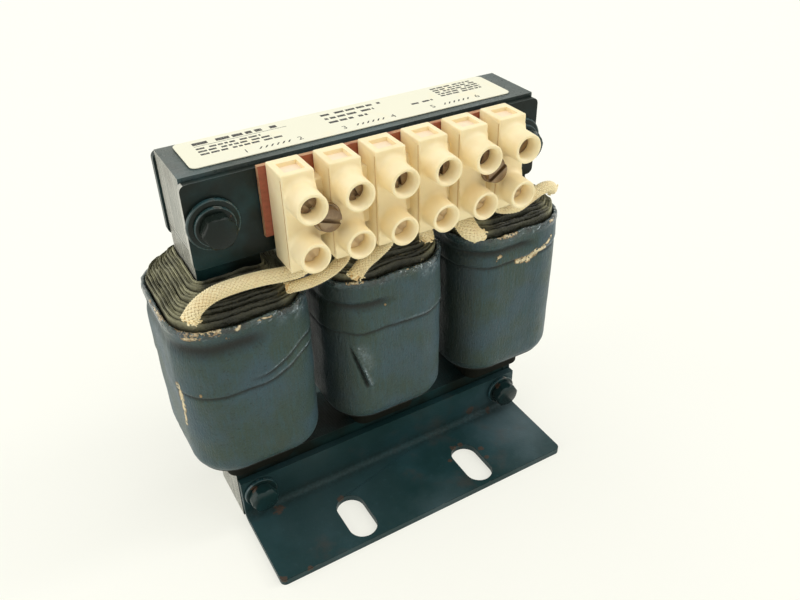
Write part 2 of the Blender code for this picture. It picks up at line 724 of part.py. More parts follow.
def terminal_strip():
    """One moulding: six towers on a web, two screw tubes on each tower, a pocket up through it."""
    solids = cutter_group("strip_solids")
    hollows = cutter_group("strip_hollows")
    tower_size = (POLE_WIDTH, STRIP_DEPTH, STRIP_HEIGHT)
    tower_y = -STRIP_BACK - STRIP_DEPTH / 2
    pocket_width = INSERT_WIDTH + 2 * FIT_GAP
    pocket_top = STRIP_TOP - ENTRY_LAND
    pocket_bottom = STRIP_BOTTOM - FIT_GAP
    pocket_size = (pocket_width, pocket_width, pocket_top - pocket_bottom)
    pocket_z = (pocket_top + pocket_bottom) / 2
    mouth_size = (ENTRY_WIDTH, ENTRY_WIDTH, 3 * ENTRY_LAND)
    for x in POLE_X:
        add_cutter("tower", block(tower_size), (x, tower_y, STRIP_CENTRE_Z), solids)
        add_cutter("pocket", block(pocket_size), (x, -INSERT_Y, pocket_z), hollows)
        add_cutter("mouth", block(mouth_size), (x, -INSERT_Y, STRIP_TOP), hollows)
        for length, side in ((UPPER_TUBE_LENGTH, 1), (LOWER_TUBE_LENGTH, -1)):
            z = STRIP_CENTRE_Z + side * TUBE_SPACING / 2
            root = -STRIP_FRONT + TUBE_ROOT
            face = -STRIP_FRONT - length
            add_cutter("tube", rod(TUBE_DIAMETER, face, root), (x, 0, z), solids)
            bore = rod(TUBE_BORE, face - TUBE_DIAMETER, -INSERT_Y, SMALL_SIDES)
            add_cutter("tube_bore", bore, (x, 0, z), hollows)
    for x in MOUNT_SCREW_X:
        hole = rod(MOUNT_SCREW_SHANK + 2 * FIT_GAP, -STRIP_FRONT, -STRIP_BACK + WEB_DEPTH, SMALL_SIDES)
        add_cutter("mount_hole", hole, (x, 0, STRIP_CENTRE_Z), hollows)

    web_centre = ((POLE_X[0] + POLE_X[-1]) / 2, -STRIP_BACK - WEB_DEPTH / 2, STRIP_CENTRE_Z)
    web = block((POLE_X[-1] - POLE_X[0], WEB_DEPTH, WEB_HEIGHT), web_centre)
    strip = add_part("terminal_strip", web, cream_moulding(), smooth=True)
    modify(strip, "UNION", solids)
    modify(strip, "DIFFERENCE", hollows)


def terminal_inserts():
    bore = circle(INSERT_BORE, SMALL_SIDES)
    square = rounded_rectangle(INSERT_WIDTH / 2, INSERT_WIDTH / 2, INSERT_CORNER, 1)
    height = 2 * INSERT_HALF_HEIGHT
    for number, x in enumerate(POLE_X, 1):
        threads = cutter_group("insert_threads_%d" % number)
        for side in (-1, 1):
            hole = rod(CLAMP_SCREW_SHANK + 2 * FIT_GAP, -INSERT_WIDTH, 0, SMALL_SIDES)
            place = (x, -INSERT_Y, STRIP_CENTRE_Z + side * TUBE_SPACING / 2)
            add_cutter("thread", hole, place, threads)
        mesh = sheet_metal([square, bore], height)
        insert = add_part(
            "terminal_insert_%d" % number, mesh, insert_brass(), (x, -INSERT_Y, STRIP_CENTRE_Z)
        )
        modify(insert, "DIFFERENCE", threads)


def slotted_screw(name, head, head_height, shank, shank_length, slot, place, angle, material):
    """A screw along Y: y = 0 is the outer face of its head, the shank points to +Y."""
    slot_width, slot_depth = slot
    body = [
        (0, 0),
        (head / 2, 0),
        (head / 2, head_height),
        (shank / 2, head_height),
        (shank / 2, head_height + shank_length),
        (0, head_height + shank_length),
    ]
    mesh = turned(body)
    screw = add_part(name, mesh, material, place, smooth=True)
    cut = block((2 * head, 2 * slot_depth, slot_width))
    cut.transform(Matrix.Rotation(angle, 4, "Y"))
    modify(screw, "DIFFERENCE", add_cutter(name + "_slot", cut, place))


def turned(profile, sides=SMALL_SIDES):
    """A solid turned about Y from a profile of (radius, distance along Y)."""
    outline = bpy.data.meshes.new("turned_profile")
    shape = bmesh.new()
    corners = [shape.verts.new((radius, 0, -along)) for radius, along in profile]
    for start, end in zip(corners, corners[1:]):
        shape.edges.new((start, end))
    shape.to_mesh(outline)
    shape.free()
    holder = bpy.data.objects.new("turned", outline)
    parts.objects.link(holder)
    screw = holder.modifiers.new("turn", "SCREW")
    screw.steps = sides
    screw.render_steps = sides
    screw.axis = "Z"
    screw.use_merge_vertices = True
    screw.merge_threshold = 10 * MERGE_DISTANCE
    bpy.context.view_layer.update()
    graph = bpy.context.evaluated_depsgraph_get()
    mesh = bpy.data.meshes.new_from_object(holder.evaluated_get(graph))
    bpy.data.objects.remove(holder, do_unlink=True)
    mesh.transform(Matrix.Rotation(pi / 2, 4, "X"))
    shape = bmesh.new()
    shape.from_mesh(mesh)
    bmesh.ops.recalc_face_normals(shape, faces=shape.faces)
    shape.to_mesh(mesh)
    shape.free()
    return mesh


def clamp_screws():
    slot = (CLAMP_SCREW_SLOT_WIDTH, CLAMP_SCREW_SLOT_DEPTH)
    tip = -INSERT_Y - CONDUCTOR_DIAMETER / 2 - FIT_GAP
    for number, x in enumerate(POLE_X, 1):
        rows = (("upper", 1, UPPER_TUBE_LENGTH), ("lower", -1, LOWER_TUBE_LENGTH))
        for row, side, length in rows:
            face = -STRIP_FRONT - length + CLAMP_SCREW_RECESS
            shank = tip - face - CLAMP_SCREW_HEAD_HEIGHT
            place = (x, face, STRIP_CENTRE_Z + side * TUBE_SPACING / 2)
            angle = radians(CLAMP_SCREW_FIRST_TURN + CLAMP_SCREW_TURN_STEP * number * side)
            slotted_screw(
                "clamp_screw_%s_%d" % (row, number),
                CLAMP_SCREW_HEAD,
                CLAMP_SCREW_HEAD_HEIGHT,
                CLAMP_SCREW_SHANK,
                shank,
                slot,
                place,
                angle,
                bright_steel(),
            )


def mount_screws():
    """Two screws hold the strip and its sheet on the front clamp plate."""
    slot = (MOUNT_SCREW_SLOT_WIDTH, MOUNT_SCREW_SLOT_DEPTH)
    tip = -CLAMP_FACE + CLAMP_THICKNESS
    seat = -STRIP_FRONT - SEAT_GAP
    full_head = MOUNT_SCREW_HEAD_HEIGHT + MOUNT_SCREW_FLANGE_HEIGHT
    face = seat - full_head
    profile = [
        (0, 0),
        (MOUNT_SCREW_HEAD / 2, 0),
        (MOUNT_SCREW_HEAD / 2, MOUNT_SCREW_HEAD_HEIGHT),
        (MOUNT_SCREW_FLANGE / 2, MOUNT_SCREW_HEAD_HEIGHT),
        (MOUNT_SCREW_FLANGE / 2, full_head),
        (MOUNT_SCREW_SHANK / 2, full_head),
        (MOUNT_SCREW_SHANK / 2, tip - face),
        (0, tip - face),
    ]
    for word, x, angle in zip(("left", "right"), MOUNT_SCREW_X, MOUNT_SCREW_TURNS):
        name = "strip_screw_" + word
        place = (x, face, STRIP_CENTRE_Z)
        screw = add_part(name, turned(profile), bright_steel(), place, smooth=True)
        cut = block((2 * MOUNT_SCREW_HEAD, 2 * MOUNT_SCREW_SLOT_DEPTH, MOUNT_SCREW_SLOT_WIDTH))
        cut.transform(Matrix.Rotation(radians(angle), 4, "Y"))
        modify(screw, "DIFFERENCE", add_cutter(name + "_slot", cut, place))


def smooth_route(points, steps):
    """Points of a Catmull-Rom curve through the given ones."""
    ends = [2 * points[0] - points[1], *points, 2 * points[-1] - points[-2]]
    route = []
    for a, b, c, d in zip(ends, ends[1:], ends[2:], ends[3:]):
        for k in range(steps):
            t = k / steps
            route.append(
                0.5 * (2 * b + (c - a) * t + (2 * a - 5 * b + 4 * c - d) * t * t)
                + 0.5 * (3 * b - a - 3 * c + d) * t ** 3
            )
    route.append(points[-1])
    return route


def leads():
    insert_bottom = STRIP_CENTRE_Z - INSERT_HALF_HEIGHT
    coil_x = [word * LEG_SPACING for word in (-1, -1, 0, 0, 1, 1)]
    for (name, (width, points)), centre, x in zip(LEAD_ROUTES.items(), coil_x, POLE_X):
        winding_corner = Vector((centre, -WINDING_HALF_Y, WINDING_TOP))
        mouth = Vector((x, -INSERT_Y, STRIP_BOTTOM))
        sleeve_end = Vector((x, -INSERT_Y, insert_bottom - FIT_GAP))
        route = [winding_corner + Vector(point) for point in points]
        route += [mouth - Vector((0, 0, SLEEVE_RISE)), sleeve_end]
        sleeve = smooth_route(route, LEAD_POINTS_PER_STRETCH)
        radii = [width / 2] * len(sleeve)
        sleeve.append(sleeve_end + Vector((0, 0, FIT_GAP - LEAD_END_GAP)))
        radii.append(CONDUCTOR_DIAMETER / 2)
        sleeve.append(sleeve_end + Vector((0, 0, CONDUCTOR_REACH)))
        radii.append(CONDUCTOR_DIAMETER / 2)
        curve = new_curve(name, [[tuple(point) for point in sleeve]], "3D", cyclic=False)
        curve.bevel_depth = 1.0
        curve.bevel_resolution = LEAD_BEVEL_RESOLUTION
        curve.use_fill_caps = True
        for point, radius in zip(curve.splines[0].points, radii):
            point.radius = radius
        curve.materials.append(sleeve_braid())
        lead = bpy.data.objects.new(name, curve)
        parts.objects.link(lead)
        lead.parent = frame


def label():
    half_length = CORE_WIDTH / 2 - LABEL_END_MARGIN
    half_width = CORE_DEPTH / 2 - LABEL_SIDE_MARGIN
    outline = rounded_rectangle(half_length, half_width, LABEL_CORNER, CORNER_STEPS)
    mesh = sheet_metal([outline], LABEL_THICKNESS)
    place = (LABEL_SHIFT_X, LABEL_SHIFT_Y, CORE_HEIGHT + SEAT_GAP + LABEL_THICKNESS / 2)
    add_part("top_label", mesh, label_film(), place)


clear_scene()
parts = new_collection("line_reactor")
cutters = new_collection("cutters")
frame = bpy.data.objects.new("reactor_frame", None)
parts.objects.link(frame)
core_stacks()
clamp_plates()
foot_angles()
through_bolts()
coils()
fibre_sheet()
terminal_strip()
terminal_inserts()
clamp_screws()
mount_screws()
leads()
label()
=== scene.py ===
"""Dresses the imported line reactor: the fine shape and finish of each piece, the light and the camera.

Everything is in metres in the part's own frame: X along the row of coils, -Y the terminal side,
+Z up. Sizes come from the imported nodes, from the user's settings and from the values below.
"""

import json
from math import cos, pi, radians, sin, tan

import bmesh
import bpy
import numpy as np
from bpy.props import FloatProperty, FloatVectorProperty, IntProperty, PointerProperty
from mathutils import Matrix, Vector, noise

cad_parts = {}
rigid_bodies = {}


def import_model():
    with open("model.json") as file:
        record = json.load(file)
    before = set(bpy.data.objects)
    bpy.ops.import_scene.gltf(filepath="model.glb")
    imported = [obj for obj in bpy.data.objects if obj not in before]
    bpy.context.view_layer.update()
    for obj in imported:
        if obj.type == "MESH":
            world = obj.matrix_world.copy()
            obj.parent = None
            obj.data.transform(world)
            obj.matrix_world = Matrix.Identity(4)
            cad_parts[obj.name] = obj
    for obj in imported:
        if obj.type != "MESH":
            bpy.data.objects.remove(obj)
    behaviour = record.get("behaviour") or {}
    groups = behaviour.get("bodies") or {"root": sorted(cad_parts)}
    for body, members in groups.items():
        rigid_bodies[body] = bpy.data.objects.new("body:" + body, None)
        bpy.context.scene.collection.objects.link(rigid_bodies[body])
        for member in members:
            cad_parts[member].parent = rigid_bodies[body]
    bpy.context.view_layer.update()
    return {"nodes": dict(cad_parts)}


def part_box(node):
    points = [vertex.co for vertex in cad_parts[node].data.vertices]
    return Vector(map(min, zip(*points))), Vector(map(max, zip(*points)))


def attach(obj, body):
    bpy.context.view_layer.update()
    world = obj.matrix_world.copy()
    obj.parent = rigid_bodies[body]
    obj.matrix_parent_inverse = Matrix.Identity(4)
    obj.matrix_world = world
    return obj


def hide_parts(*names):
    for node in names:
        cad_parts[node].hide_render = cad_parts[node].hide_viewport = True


bl_info = {
    "name": "Line reactor",
    "version": (1, 0, 0),
    "blender": (4, 5, 0),
    "location": "View3D > Sidebar > Reactor",
    "description": "Builds the dressed line reactor piece by piece",
    "category": "Object",
}

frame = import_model()
BODY = "root"
SIDES = ("left", "centre", "right")

# Core, clamp plates and feet
LEG_WIDTH = 0.0152
YOKE_HEIGHT = 0.0176
BOLT_HOLE_RADIUS = 0.0027
CLAMP_CORNER = 0.0016
CLAMP_EDGE = 0.00055
CUT_EDGE_ANGLE = 60
FOOT_THICKNESS = 0.0020
FOOT_BEND_RADIUS = 0.0016
FOOT_CORNER = 0.0015
FOOT_EDGE = 0.00028
SLOT_WIDTH = 0.0080
SLOT_LENGTH = 0.0152
SLOT_SPACING = 0.0384
SLOT_EDGE_MARGIN = 0.0014

# Bolts, nuts and washers
HEX_WIDTH = 0.0070
HEX_CHAMFER = 0.00045
HEX_COLUMNS = 48
THREAD_RADIUS = 0.0024
THREAD_LENGTH = 0.0040
THREAD_PITCH = 0.0008
FLANGE_RADIUS = 0.0046
FLANGE_THICKNESS = 0.0010

# Coils
WRAP_THICKNESS = 0.0009
WRAP_CORNER = 0.0108
WRAP_BEND = 0.0046
WRAP_LIP = 0.0056
WRAP_BULGE = 0.0007
WRAP_ROWS = 128
WRAP_COLUMNS = {"left": 270, "centre": 420, "right": 270}
LAYER_COUNT = 9
LAYER_STEP = 0.00081
LAYER_RISE = 0.00058
CUFF_COUNT = 3
FORMER_WALL = 0.0016
FORMER_CORNER = 0.0033
FORMER_TUCK = 0.0050
FIT_GAP = 0.0003

# Terminal strip
POLE_COUNT = 6
POLE_WIDTH = 0.0075
POLE_EDGE = 0.00035
WEB_DEPTH = 0.0042
WEB_HEIGHT = 0.0140
TUBE_RADIUS = 0.0037
BORE_RADIUS = 0.00265
TUBE_SPACING = 0.0120
UPPER_TUBE_LENGTH = 0.0065
LOWER_TUBE_LENGTH = 0.0059
POCKET_WIDTH = 0.0056
MOUTH_WIDTH = 0.0042
MOUTH_LAND = 0.0019
MOUTH_SPREAD = 1.22
LEAF_DEPTH = 0.0008
LEAF_THICKNESS = 0.0002
STRIP_SCREW_HOLE = 0.0017
SEAM_WIDTH = 0.00036
SEAM_PLACE = 0.0006
SEAM_DEPTH = 0.0009
INSERTS = ["terminal_insert_%d" % (number + 1) for number in range(POLE_COUNT)]

# Camera, from the straight edges that the view shows
CAMERA_PLACE = (-0.07768, -0.15639, 0.17471)
CAMERA_AIM = (0.01504, 0.00702, 0.04204)
CAMERA_ROLL = -1.18
CAMERA_LENS = 35.04
FLOOR_SIZE = 6.0

# Lamps: name, where each stands, strength and spread in degrees
LAMPS = [
    ("key", (0.42, -0.30, 0.86), 0.90, 55),
    ("side", (0.86, -0.22, 0.46), 0.55, 12),
    ("back", (-0.25, 0.80, 0.55), 0.40, 45),
    ("fill", (-0.92, 0.16, 0.36), 0.93, 60),
]
SKY_TINT = (0.97, 1.0, 0.99, 1.0)

SHARP_ANGLE = 38


def linear(levels):
    """The linear colour of three screen levels from 0 to 255."""
    shares = [level / 255 for level in levels]
    return tuple(((c + 0.055) / 1.055) ** 2.4 if c > 0.04 else c / 12.92 for c in shares)


def length(name, description, default):
    return FloatProperty(name=name, description=description, default=default, min=0.0, precision=5,
                         subtype="DISTANCE", unit="LENGTH")


def share(name, description, default):
    return FloatProperty(name=name, description=description, default=default, min=0.0, max=1.0,
                         subtype="FACTOR")


def colour(name, description, levels):
    return FloatVectorProperty(name=name, description=description, default=linear(levels), min=0.0,
                               max=1.0, size=3, subtype="COLOR")


class ReactorSizes(bpy.types.PropertyGroup):
    """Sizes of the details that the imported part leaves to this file."""

    sheet_pitch: length("Core sheet", "Thickness of one core sheet with its varnish", 0.0005)
    sheet_jitter: length("Sheet jitter", "How far a core sheet stands out of line", 0.00002)
    tape_lumps: length("Tape lumps", "Height of the soft lumps under the tape", 0.00016)
    tape_wrinkles: length("Tape wrinkles", "Height of the small wrinkles in the tape", 0.00005)
    tape_step: length("Tape step", "Height of the step where one band of tape ends", 0.00028)
    rim_wave: length("Rim wave", "How far the tape's top edge wanders", 0.00045)
    layer_wave: length("Layer wave", "How far the edge of a winding layer wanders", 0.0007)
    layer_groove: length("Layer groove", "Depth of the groove between two layers", 0.0010)
    yarn_lift: length("Yarn lift", "How far a yarn of the sleeve rises over the next", 0.00022)
    yarn_thickness: length("Yarn thickness", "Half the thickness of a yarn of the sleeve", 0.00017)
    fray: share("Fray", "How far the yarns spread at the cut end of a sleeve", 0.55)
    print_height: length("Print height", "Thickness of the ink on the label", 0.000015)
    yarns: IntProperty(name="Yarns", description="Yarns that run each way round a sleeve",
                       default=11, min=4, max=24)
    wear: share("Wear", "How much rust, chipping and torn tape shows", 1.0)


class ReactorColours(bpy.types.PropertyGroup):
    """Colours of the finishes."""

    core: colour("Core varnish", "Varnish on the core, the plates and the feet", (24, 51, 51))
    # Paler colour of random blooms, brush streaks and tape streaks; where haze is high, on the upper core
    # and on worn edges, it is painted sheen.
    core_sheen: colour("Varnish haze", "Paler bloom in the varnish", (52, 85, 92))
    # Painted reflection: the pale gleam on the cut ends of the core and the front plate, and faintly on the
    # upper core.
    dry_film: colour("Dry film", "Thin pale film on the core's ends", (196, 193, 180))
    # Painted highlight on the tape, and painted sheen on the foot.
    rubbed: colour("Rubbed tape", "Pale ridges of the tape", (124, 140, 146))
    rust: colour("Rust", "Rust at edges, slots and bolts", (92, 62, 42))
    bare_steel: colour("Bare steel", "Steel where the varnish is worn off", (168, 166, 154))
    tape: colour("Tape", "Varnished tape round the coils", (55, 76, 83))
    tape_shade: colour("Tape shade", "Greener, darker places in the tape", (52, 69, 58))
    torn_tape: colour("Torn tape", "Bare tape where the varnish is torn", (244, 226, 184))
    torn_edge: colour("Torn edge", "Browned borders of the torn tape", (146, 112, 68))
    # Painted glints on the tape's rims and ridges.
    glint: colour("Varnish fleck", "Bright flecks of varnish on rims and ridges", (196, 210, 216))
    layer: colour("Layer", "Varnished edge of a winding layer", (166, 162, 128))
    # Dark varnish between the layers; on the tape, the lower core and the foot it is the colour of painted
    # shade.
    layer_shade: colour("Layer shade", "Varnish between the winding layers", (22, 24, 17))
    strip: colour("Strip", "Cream moulding of the terminal strip", (254, 235, 190))
    strip_shade: colour("Strip shade", "Deeper tone of the moulding", (236, 210, 156))
    fibre: colour("Fibre", "Red-brown insulating sheet", (160, 86, 60))
    sleeve: colour("Sleeve", "Braided sleeve of the leads", (255, 239, 194))
    sleeve_shade: colour("Sleeve shade", "Soiled and varnished yarns", (230, 196, 140))
    screw: colour("Screw", "Bare steel screws", (154, 134, 108))
    pale_screw: colour("Pale screw", "Screws of the lower row, dusty and dull", (228, 206, 170))
    leaf: colour("Leaf", "Thin leaves that close the wire entries", (250, 228, 198))
    # Painted light: a pale colour, far lighter than brass, that lifts the shaded mouths.
    brass: colour("Brass", "Brass tubes inside the strip", (224, 190, 160))
    board: colour("Board", "Board of the formers and the spacer", (17, 18, 13))
    label: colour("Label", "Face of the label", (240, 236, 212))
    ink: colour("Ink", "Print on the label", (38, 36, 36))
    floor: colour("Floor", "Floor and background", (254, 253, 243))


def sizes():
    return bpy.context.scene.reactor_sizes


def tint(name):
    """A colour of the settings with its alpha."""
    return (*getattr(bpy.context.scene.reactor_colours, name), 1.0)


class Wire:
    """One output of a node tree. Python's operators on it add Math nodes."""

    def __init__(self, tree, socket):
        self.tree = tree
        self.socket = socket

    def __add__(self, other):
        return self.tree.math("ADD", self, other)

    def __sub__(self, other):
        return self.tree.math("SUBTRACT", self, other)

    def __rsub__(self, other):
        return self.tree.math("SUBTRACT", other, self)

    def __mul__(self, other):
        return self.tree.math("MULTIPLY", self, other)

    def __truediv__(self, other):
        return self.tree.math("DIVIDE", self, other)

    def __mod__(self, other):
        return self.tree.math("MODULO", self, other)

    __radd__ = __add__
    __rmul__ = __mul__


class Tree:
    """Adds nodes to a tree. An input is a number, a vector, a data-block or a Wire."""

    def __init__(self, tree):
        self.tree = tree

    def node(self, kind, settings=None, inputs=None, output=0):
        """Adds one node: its settings first, then its inputs by name or by number."""
        node = self.tree.nodes.new(kind)
        for key, value in (settings or {}).items():
            setattr(node, key, value)
        for key, value in (inputs or {}).items():
            socket = node.inputs[key]
            for one in value if isinstance(value, list) else [value]:
                if isinstance(one, Wire):
                    self.tree.links.new(one.socket, socket)
                else:
                    socket.default_value = one
        return Wire(self, node.outputs[output]) if node.outputs else None

    def math(self, operation, *values, clamp=False):
        settings = {"operation": operation, "use_clamp": clamp}
        return self.node("ShaderNodeMath", settings, dict(enumerate(values)))

    def vector(self, operation, *values, output=0):
        inputs = dict(enumerate(values))
        return self.node("ShaderNodeVectorMath", {"operation": operation}, inputs, output)

    def scaled(self, vector, factor):
        inputs = {0: vector, "Scale": factor}
        return self.node("ShaderNodeVectorMath", {"operation": "SCALE"}, inputs)

    def combined(self, **parts):
        """A vector from its X, Y and Z."""
        return self.node("ShaderNodeCombineXYZ", None, parts)

    def parts(self, vector):
        """The X, Y and Z of a vector."""
        first = self.node("ShaderNodeSeparateXYZ", None, {"Vector": vector})
        return [Wire(self, output) for output in first.socket.node.outputs]

    def step(self, value, low, high):
        """0 below low, 1 above high and a soft rise between; low may be the larger one."""
        flip = low > high
        ends = {1: high, 2: low, 3: 1.0, 4: 0.0} if flip else {1: low, 2: high, 3: 0.0, 4: 1.0}
        settings = {"interpolation_type": "SMOOTHSTEP"}
        return self.node("ShaderNodeMapRange", settings, {0: value, **ends})


class Finish(Tree):
    """A material's tree."""

    def place(self):
        return self.node("ShaderNodeTexCoord", output="Object")

    def stretched(self, factors):
        """Object coordinates, drawn out where a factor is under 1."""
        return self.vector("MULTIPLY", self.place(), factors)

    def distance(self, point):
        """How far the surface is from a point."""
        return self.vector("DISTANCE", self.place(), point, output="Value")

    def grain(self, size, detail=3.0, roughness=0.55, factors=(1, 1, 1)):
        """Noise whose features are about this size, from 0 to 1."""
        inputs = {"Scale": 1 / size, "Detail": detail, "Roughness": roughness}
        return self.node("ShaderNodeTexNoise", None, {"Vector": self.stretched(factors), **inputs})

    def patches(self, size, low, high, *noise_settings, **more):
        """A mask of patches of about this size: 0 where the grain is under low, 1 above high."""
        return self.step(self.grain(size, *noise_settings, **more), low, high)

    def attribute(self, name):
        return self.node("ShaderNodeAttribute", {"attribute_name": name}, output="Fac")

    def blend(self, mask, first, second):
        """The first colour where the mask is 0, and the second where it is 1."""
        inputs = {0: mask, 6: first, 7: second}
        return self.node("ShaderNodeMix", {"data_type": "RGBA"}, inputs, output=2)

    def over(self, base, mask, name):
        """The base with a colour of the settings laid over it where the mask is 1."""
        return self.blend(mask, base, tint(name))

    def near(self, spots):
        """A mask round places (x, y, z, radius), with ragged borders."""
        ragged = (self.grain(0.0013, 5.0, 0.65) - 0.5) * 1.4
        mask = None
        for x, y, z, radius in spots:
            inside = self.step(self.distance((x, y, z)), radius, 0.0)
            spot = self.step(inside * 0.85 + ragged, 0.34, 0.52)
            mask = spot if mask is None else self.math("MAXIMUM", mask, spot)
        return mask

    def bump(self, height, distance):
        return self.node("ShaderNodeBump", None, {"Height": height, "Distance": distance})

    def surface(self, **inputs):
        """The shader; an input's name has an underscore for each space."""
        named = {key.replace("_", " "): value for key, value in inputs.items()}
        shader = self.node("ShaderNodeBsdfPrincipled", None, named)
        self.node("ShaderNodeOutputMaterial", None, {"Surface": shader})


def finish(name, paint, *values, **settings):
    """The material of that name; paint fills its tree on the first use."""
    found = bpy.data.materials.get(name)
    if found:
        return found
    material = bpy.data.materials.new(name)
    material.use_nodes = True
    material.node_tree.nodes.clear()
    paint(Finish(material.node_tree), *values, **settings)
    return material


def paint_steel(tree, spots=(), rough=0.36, worn=0.0, haze=0.5, shine=0.3, deep=0.0, pale=0.0,
                blooms=(), fold=None):
    """Dark varnish brushed over steel: random blooms, darker patches, rust spots, worn edges, painted sheen
    and a pale painted reflection.

    A spot is (x, y, z, radius), a painted sheen (x, y, z, radius, strength), and the fold (y, z, reach) is
    the inner corner along X, which is given painted shade. The darker patches are the part's own tone on
    plates and bolts, and painted shade on the lower core and the feet's edges.
    """
    # Random paler blooms; on the upper core and on worn edges they are set high as painted sheen.
    bloom = tree.patches(0.022, 0.42, 0.72, 4.0) * haze
    brush = tree.grain(0.0011)
    base = tree.blend(bloom, tint("core"), tint("core_sheen"))
    base = tree.over(base, tree.step(brush, 0.60, 0.80) * 0.25, "core_sheen")
    # Painted sheen: paler places where the foot catches light from the side.
    for x, y, z, radius, most in blooms:
        ragged = tree.grain(0.008) * (radius * 0.5)
        soft = tree.step(tree.distance((x, y, z)) + ragged, radius, 0.0)
        base = tree.over(base, soft * most, "rubbed")
    # Darker patches: the part's own tone on plates and bolts, and painted shade on the lower core and the
    # feet's edges.
    if deep:
        base = tree.over(base, tree.patches(0.015, 0.30, 0.62, 4.0) * deep, "layer_shade")
    # Painted reflection: a pale gleam, streaked up and down, on faces that catch light at a grazing angle.
    if pale:
        gleam = tree.patches(0.0016, 0.20, 0.75, 4.0, factors=(1, 1, 0.10)) * 0.34 + 0.62
        base = tree.over(base, gleam * pale, "dry_film")
    brown = tree.patches(0.012, 0.54, 0.72, 5.0, 0.6) * (0.20 - 0.16 * deep)
    speck = tree.patches(0.0007, 0.72, 0.80, 2.0) * tree.patches(0.009, 0.5, 0.7)
    rust = tree.math("MAXIMUM", brown, speck * 0.7)
    if spots:
        rust = tree.math("MAXIMUM", rust, tree.near(spots) * 0.52)
    if worn:
        edge = tree.patches(0.0035, 0.60 - 0.22 * worn, 0.72 - 0.10 * worn, 4.0)
        steel = tree.patches(0.0012, 0.45, 0.60)
        bare = tree.blend(steel, tint("rust"), tint("bare_steel"))
        base = tree.blend(edge * (0.25 + 0.5 * worn), base, bare)
    base = tree.over(base, rust * sizes().wear, "rust")
    roughness = rough + rust * 0.35 + (brush - 0.5) * 0.20
    # Painted shade along the inner corner of the bend, broken into crumbs.
    if fold:
        y, z, reach = fold
        across = tree.vector("DISTANCE", tree.stretched((0, 1, 1)), (0, y, z), output="Value")
        crumbs = 0.4 + tree.patches(0.0008, 0.35, 0.60) * 0.6
        dirt = tree.step(across, reach, 0.2 * reach) * crumbs
        base = tree.over(base, dirt * 0.40, "layer_shade")
        roughness = roughness + dirt * 0.25
    height = tree.grain(0.0022, 2.0) * 0.5 + tree.grain(0.0006) * 0.35
    height = height + rust * tree.grain(0.0003) * 0.8
    normal = tree.bump(height, 0.00011)
    tree.surface(Base_Color=base, Roughness=roughness, Normal=normal, Specular_IOR_Level=shine)


def paint_tape(tree):
    """Glass tape soaked in varnish: drawn-out streaks, olive and blue places, torn and glossy rims, painted
    shade, painted highlights and painted glints.
    """
    wear = tree.attribute("wear")
    rim = tree.attribute("rim")
    shade = tree.attribute("shade")
    rub = tree.attribute("rub")
    streak = tree.grain(0.0006, 4.0, factors=(1, 1, 0.10))
    base = tree.blend(tree.patches(0.013, 0.36, 0.66), tint("tape_shade"), tint("tape"))
    base = tree.over(base, tree.step(streak, 0.42, 0.74) * 0.42, "core_sheen")
    base = tree.over(base, tree.patches(0.0006, 0.54, 0.66, 3.0, 0.7) * 0.45, "core_sheen")
    base = tree.over(base, tree.patches(0.0007, 0.56, 0.68, 3.0, 0.7) * 0.50, "layer_shade")
    brown = tree.patches(0.0070, 0.60, 0.74, 5.0, 0.6) * 0.04
    base = tree.over(base, brown, "rust")
    # Painted highlights on ridges, band edges, the fold and the rim's right front corner.
    base = tree.over(base, rub * (0.30 + tree.patches(0.0012, 0.40, 0.60, 4.0, 0.65) * 0.70), "rubbed")
    dark = tree.patches(0.0024, 0.42, 0.62, 4.0) * rim
    # Painted shade in grooves, notches, the fold and inner sides; dark resin patches on the rim.
    base = tree.over(base, tree.math("MAXIMUM", dark * 0.75, shade * 0.86), "layer_shade")
    # Painted glints: bright flecks on the rim and on the places with painted highlights.
    fleck = tree.patches(0.0010, 0.58, 0.64, 4.0, 0.7)
    glint_patch = tree.patches(0.0060, 0.50, 0.60, 2.0)
    base = tree.over(base, tree.math("MAXIMUM", rim * glint_patch, rub) * fleck * 0.9, "glint")
    ragged = (tree.grain(0.0007, 5.0, 0.7) - 0.5) * 1.6
    broken = tree.patches(0.0009, 0.40, 0.50)
    edge = tree.step(wear * (0.46 + broken * 0.52) + ragged, 0.46, 0.54) * sizes().wear
    brown = tree.step(wear + tree.grain(0.0006, 5.0) * 0.9, 1.34, 1.00) * 0.85
    fibre = tree.blend(brown, tint("torn_tape"), tint("torn_edge"))
    base = tree.blend(edge, base, fibre)
    roughness = 0.40 + (tree.grain(0.006) - 0.5) * 0.25 - rim * 0.24 + edge * 0.45 - rub * 0.22
    weave = tree.grain(0.00032, factors=(1, 1, 0.35))
    height = streak * 0.6 + weave + (rim + rub) * tree.grain(0.0008) * 3.0
    height = height + edge * tree.grain(0.0004) * 2.0
    tree.surface(
        Base_Color=base,
        Roughness=roughness,
        Normal=tree.bump(height, 0.00022),
        Specular_IOR_Level=0.30,
        Sheen_Weight=0.07,
        Sheen_Roughness=0.45,
        Sheen_Tint=(0.72, 0.88, 1.0, 1.0),
        Coat_Weight=tree.math("ADD", rim * 0.7, rub * 0.6, clamp=True),
        Coat_Roughness=0.10,
    )


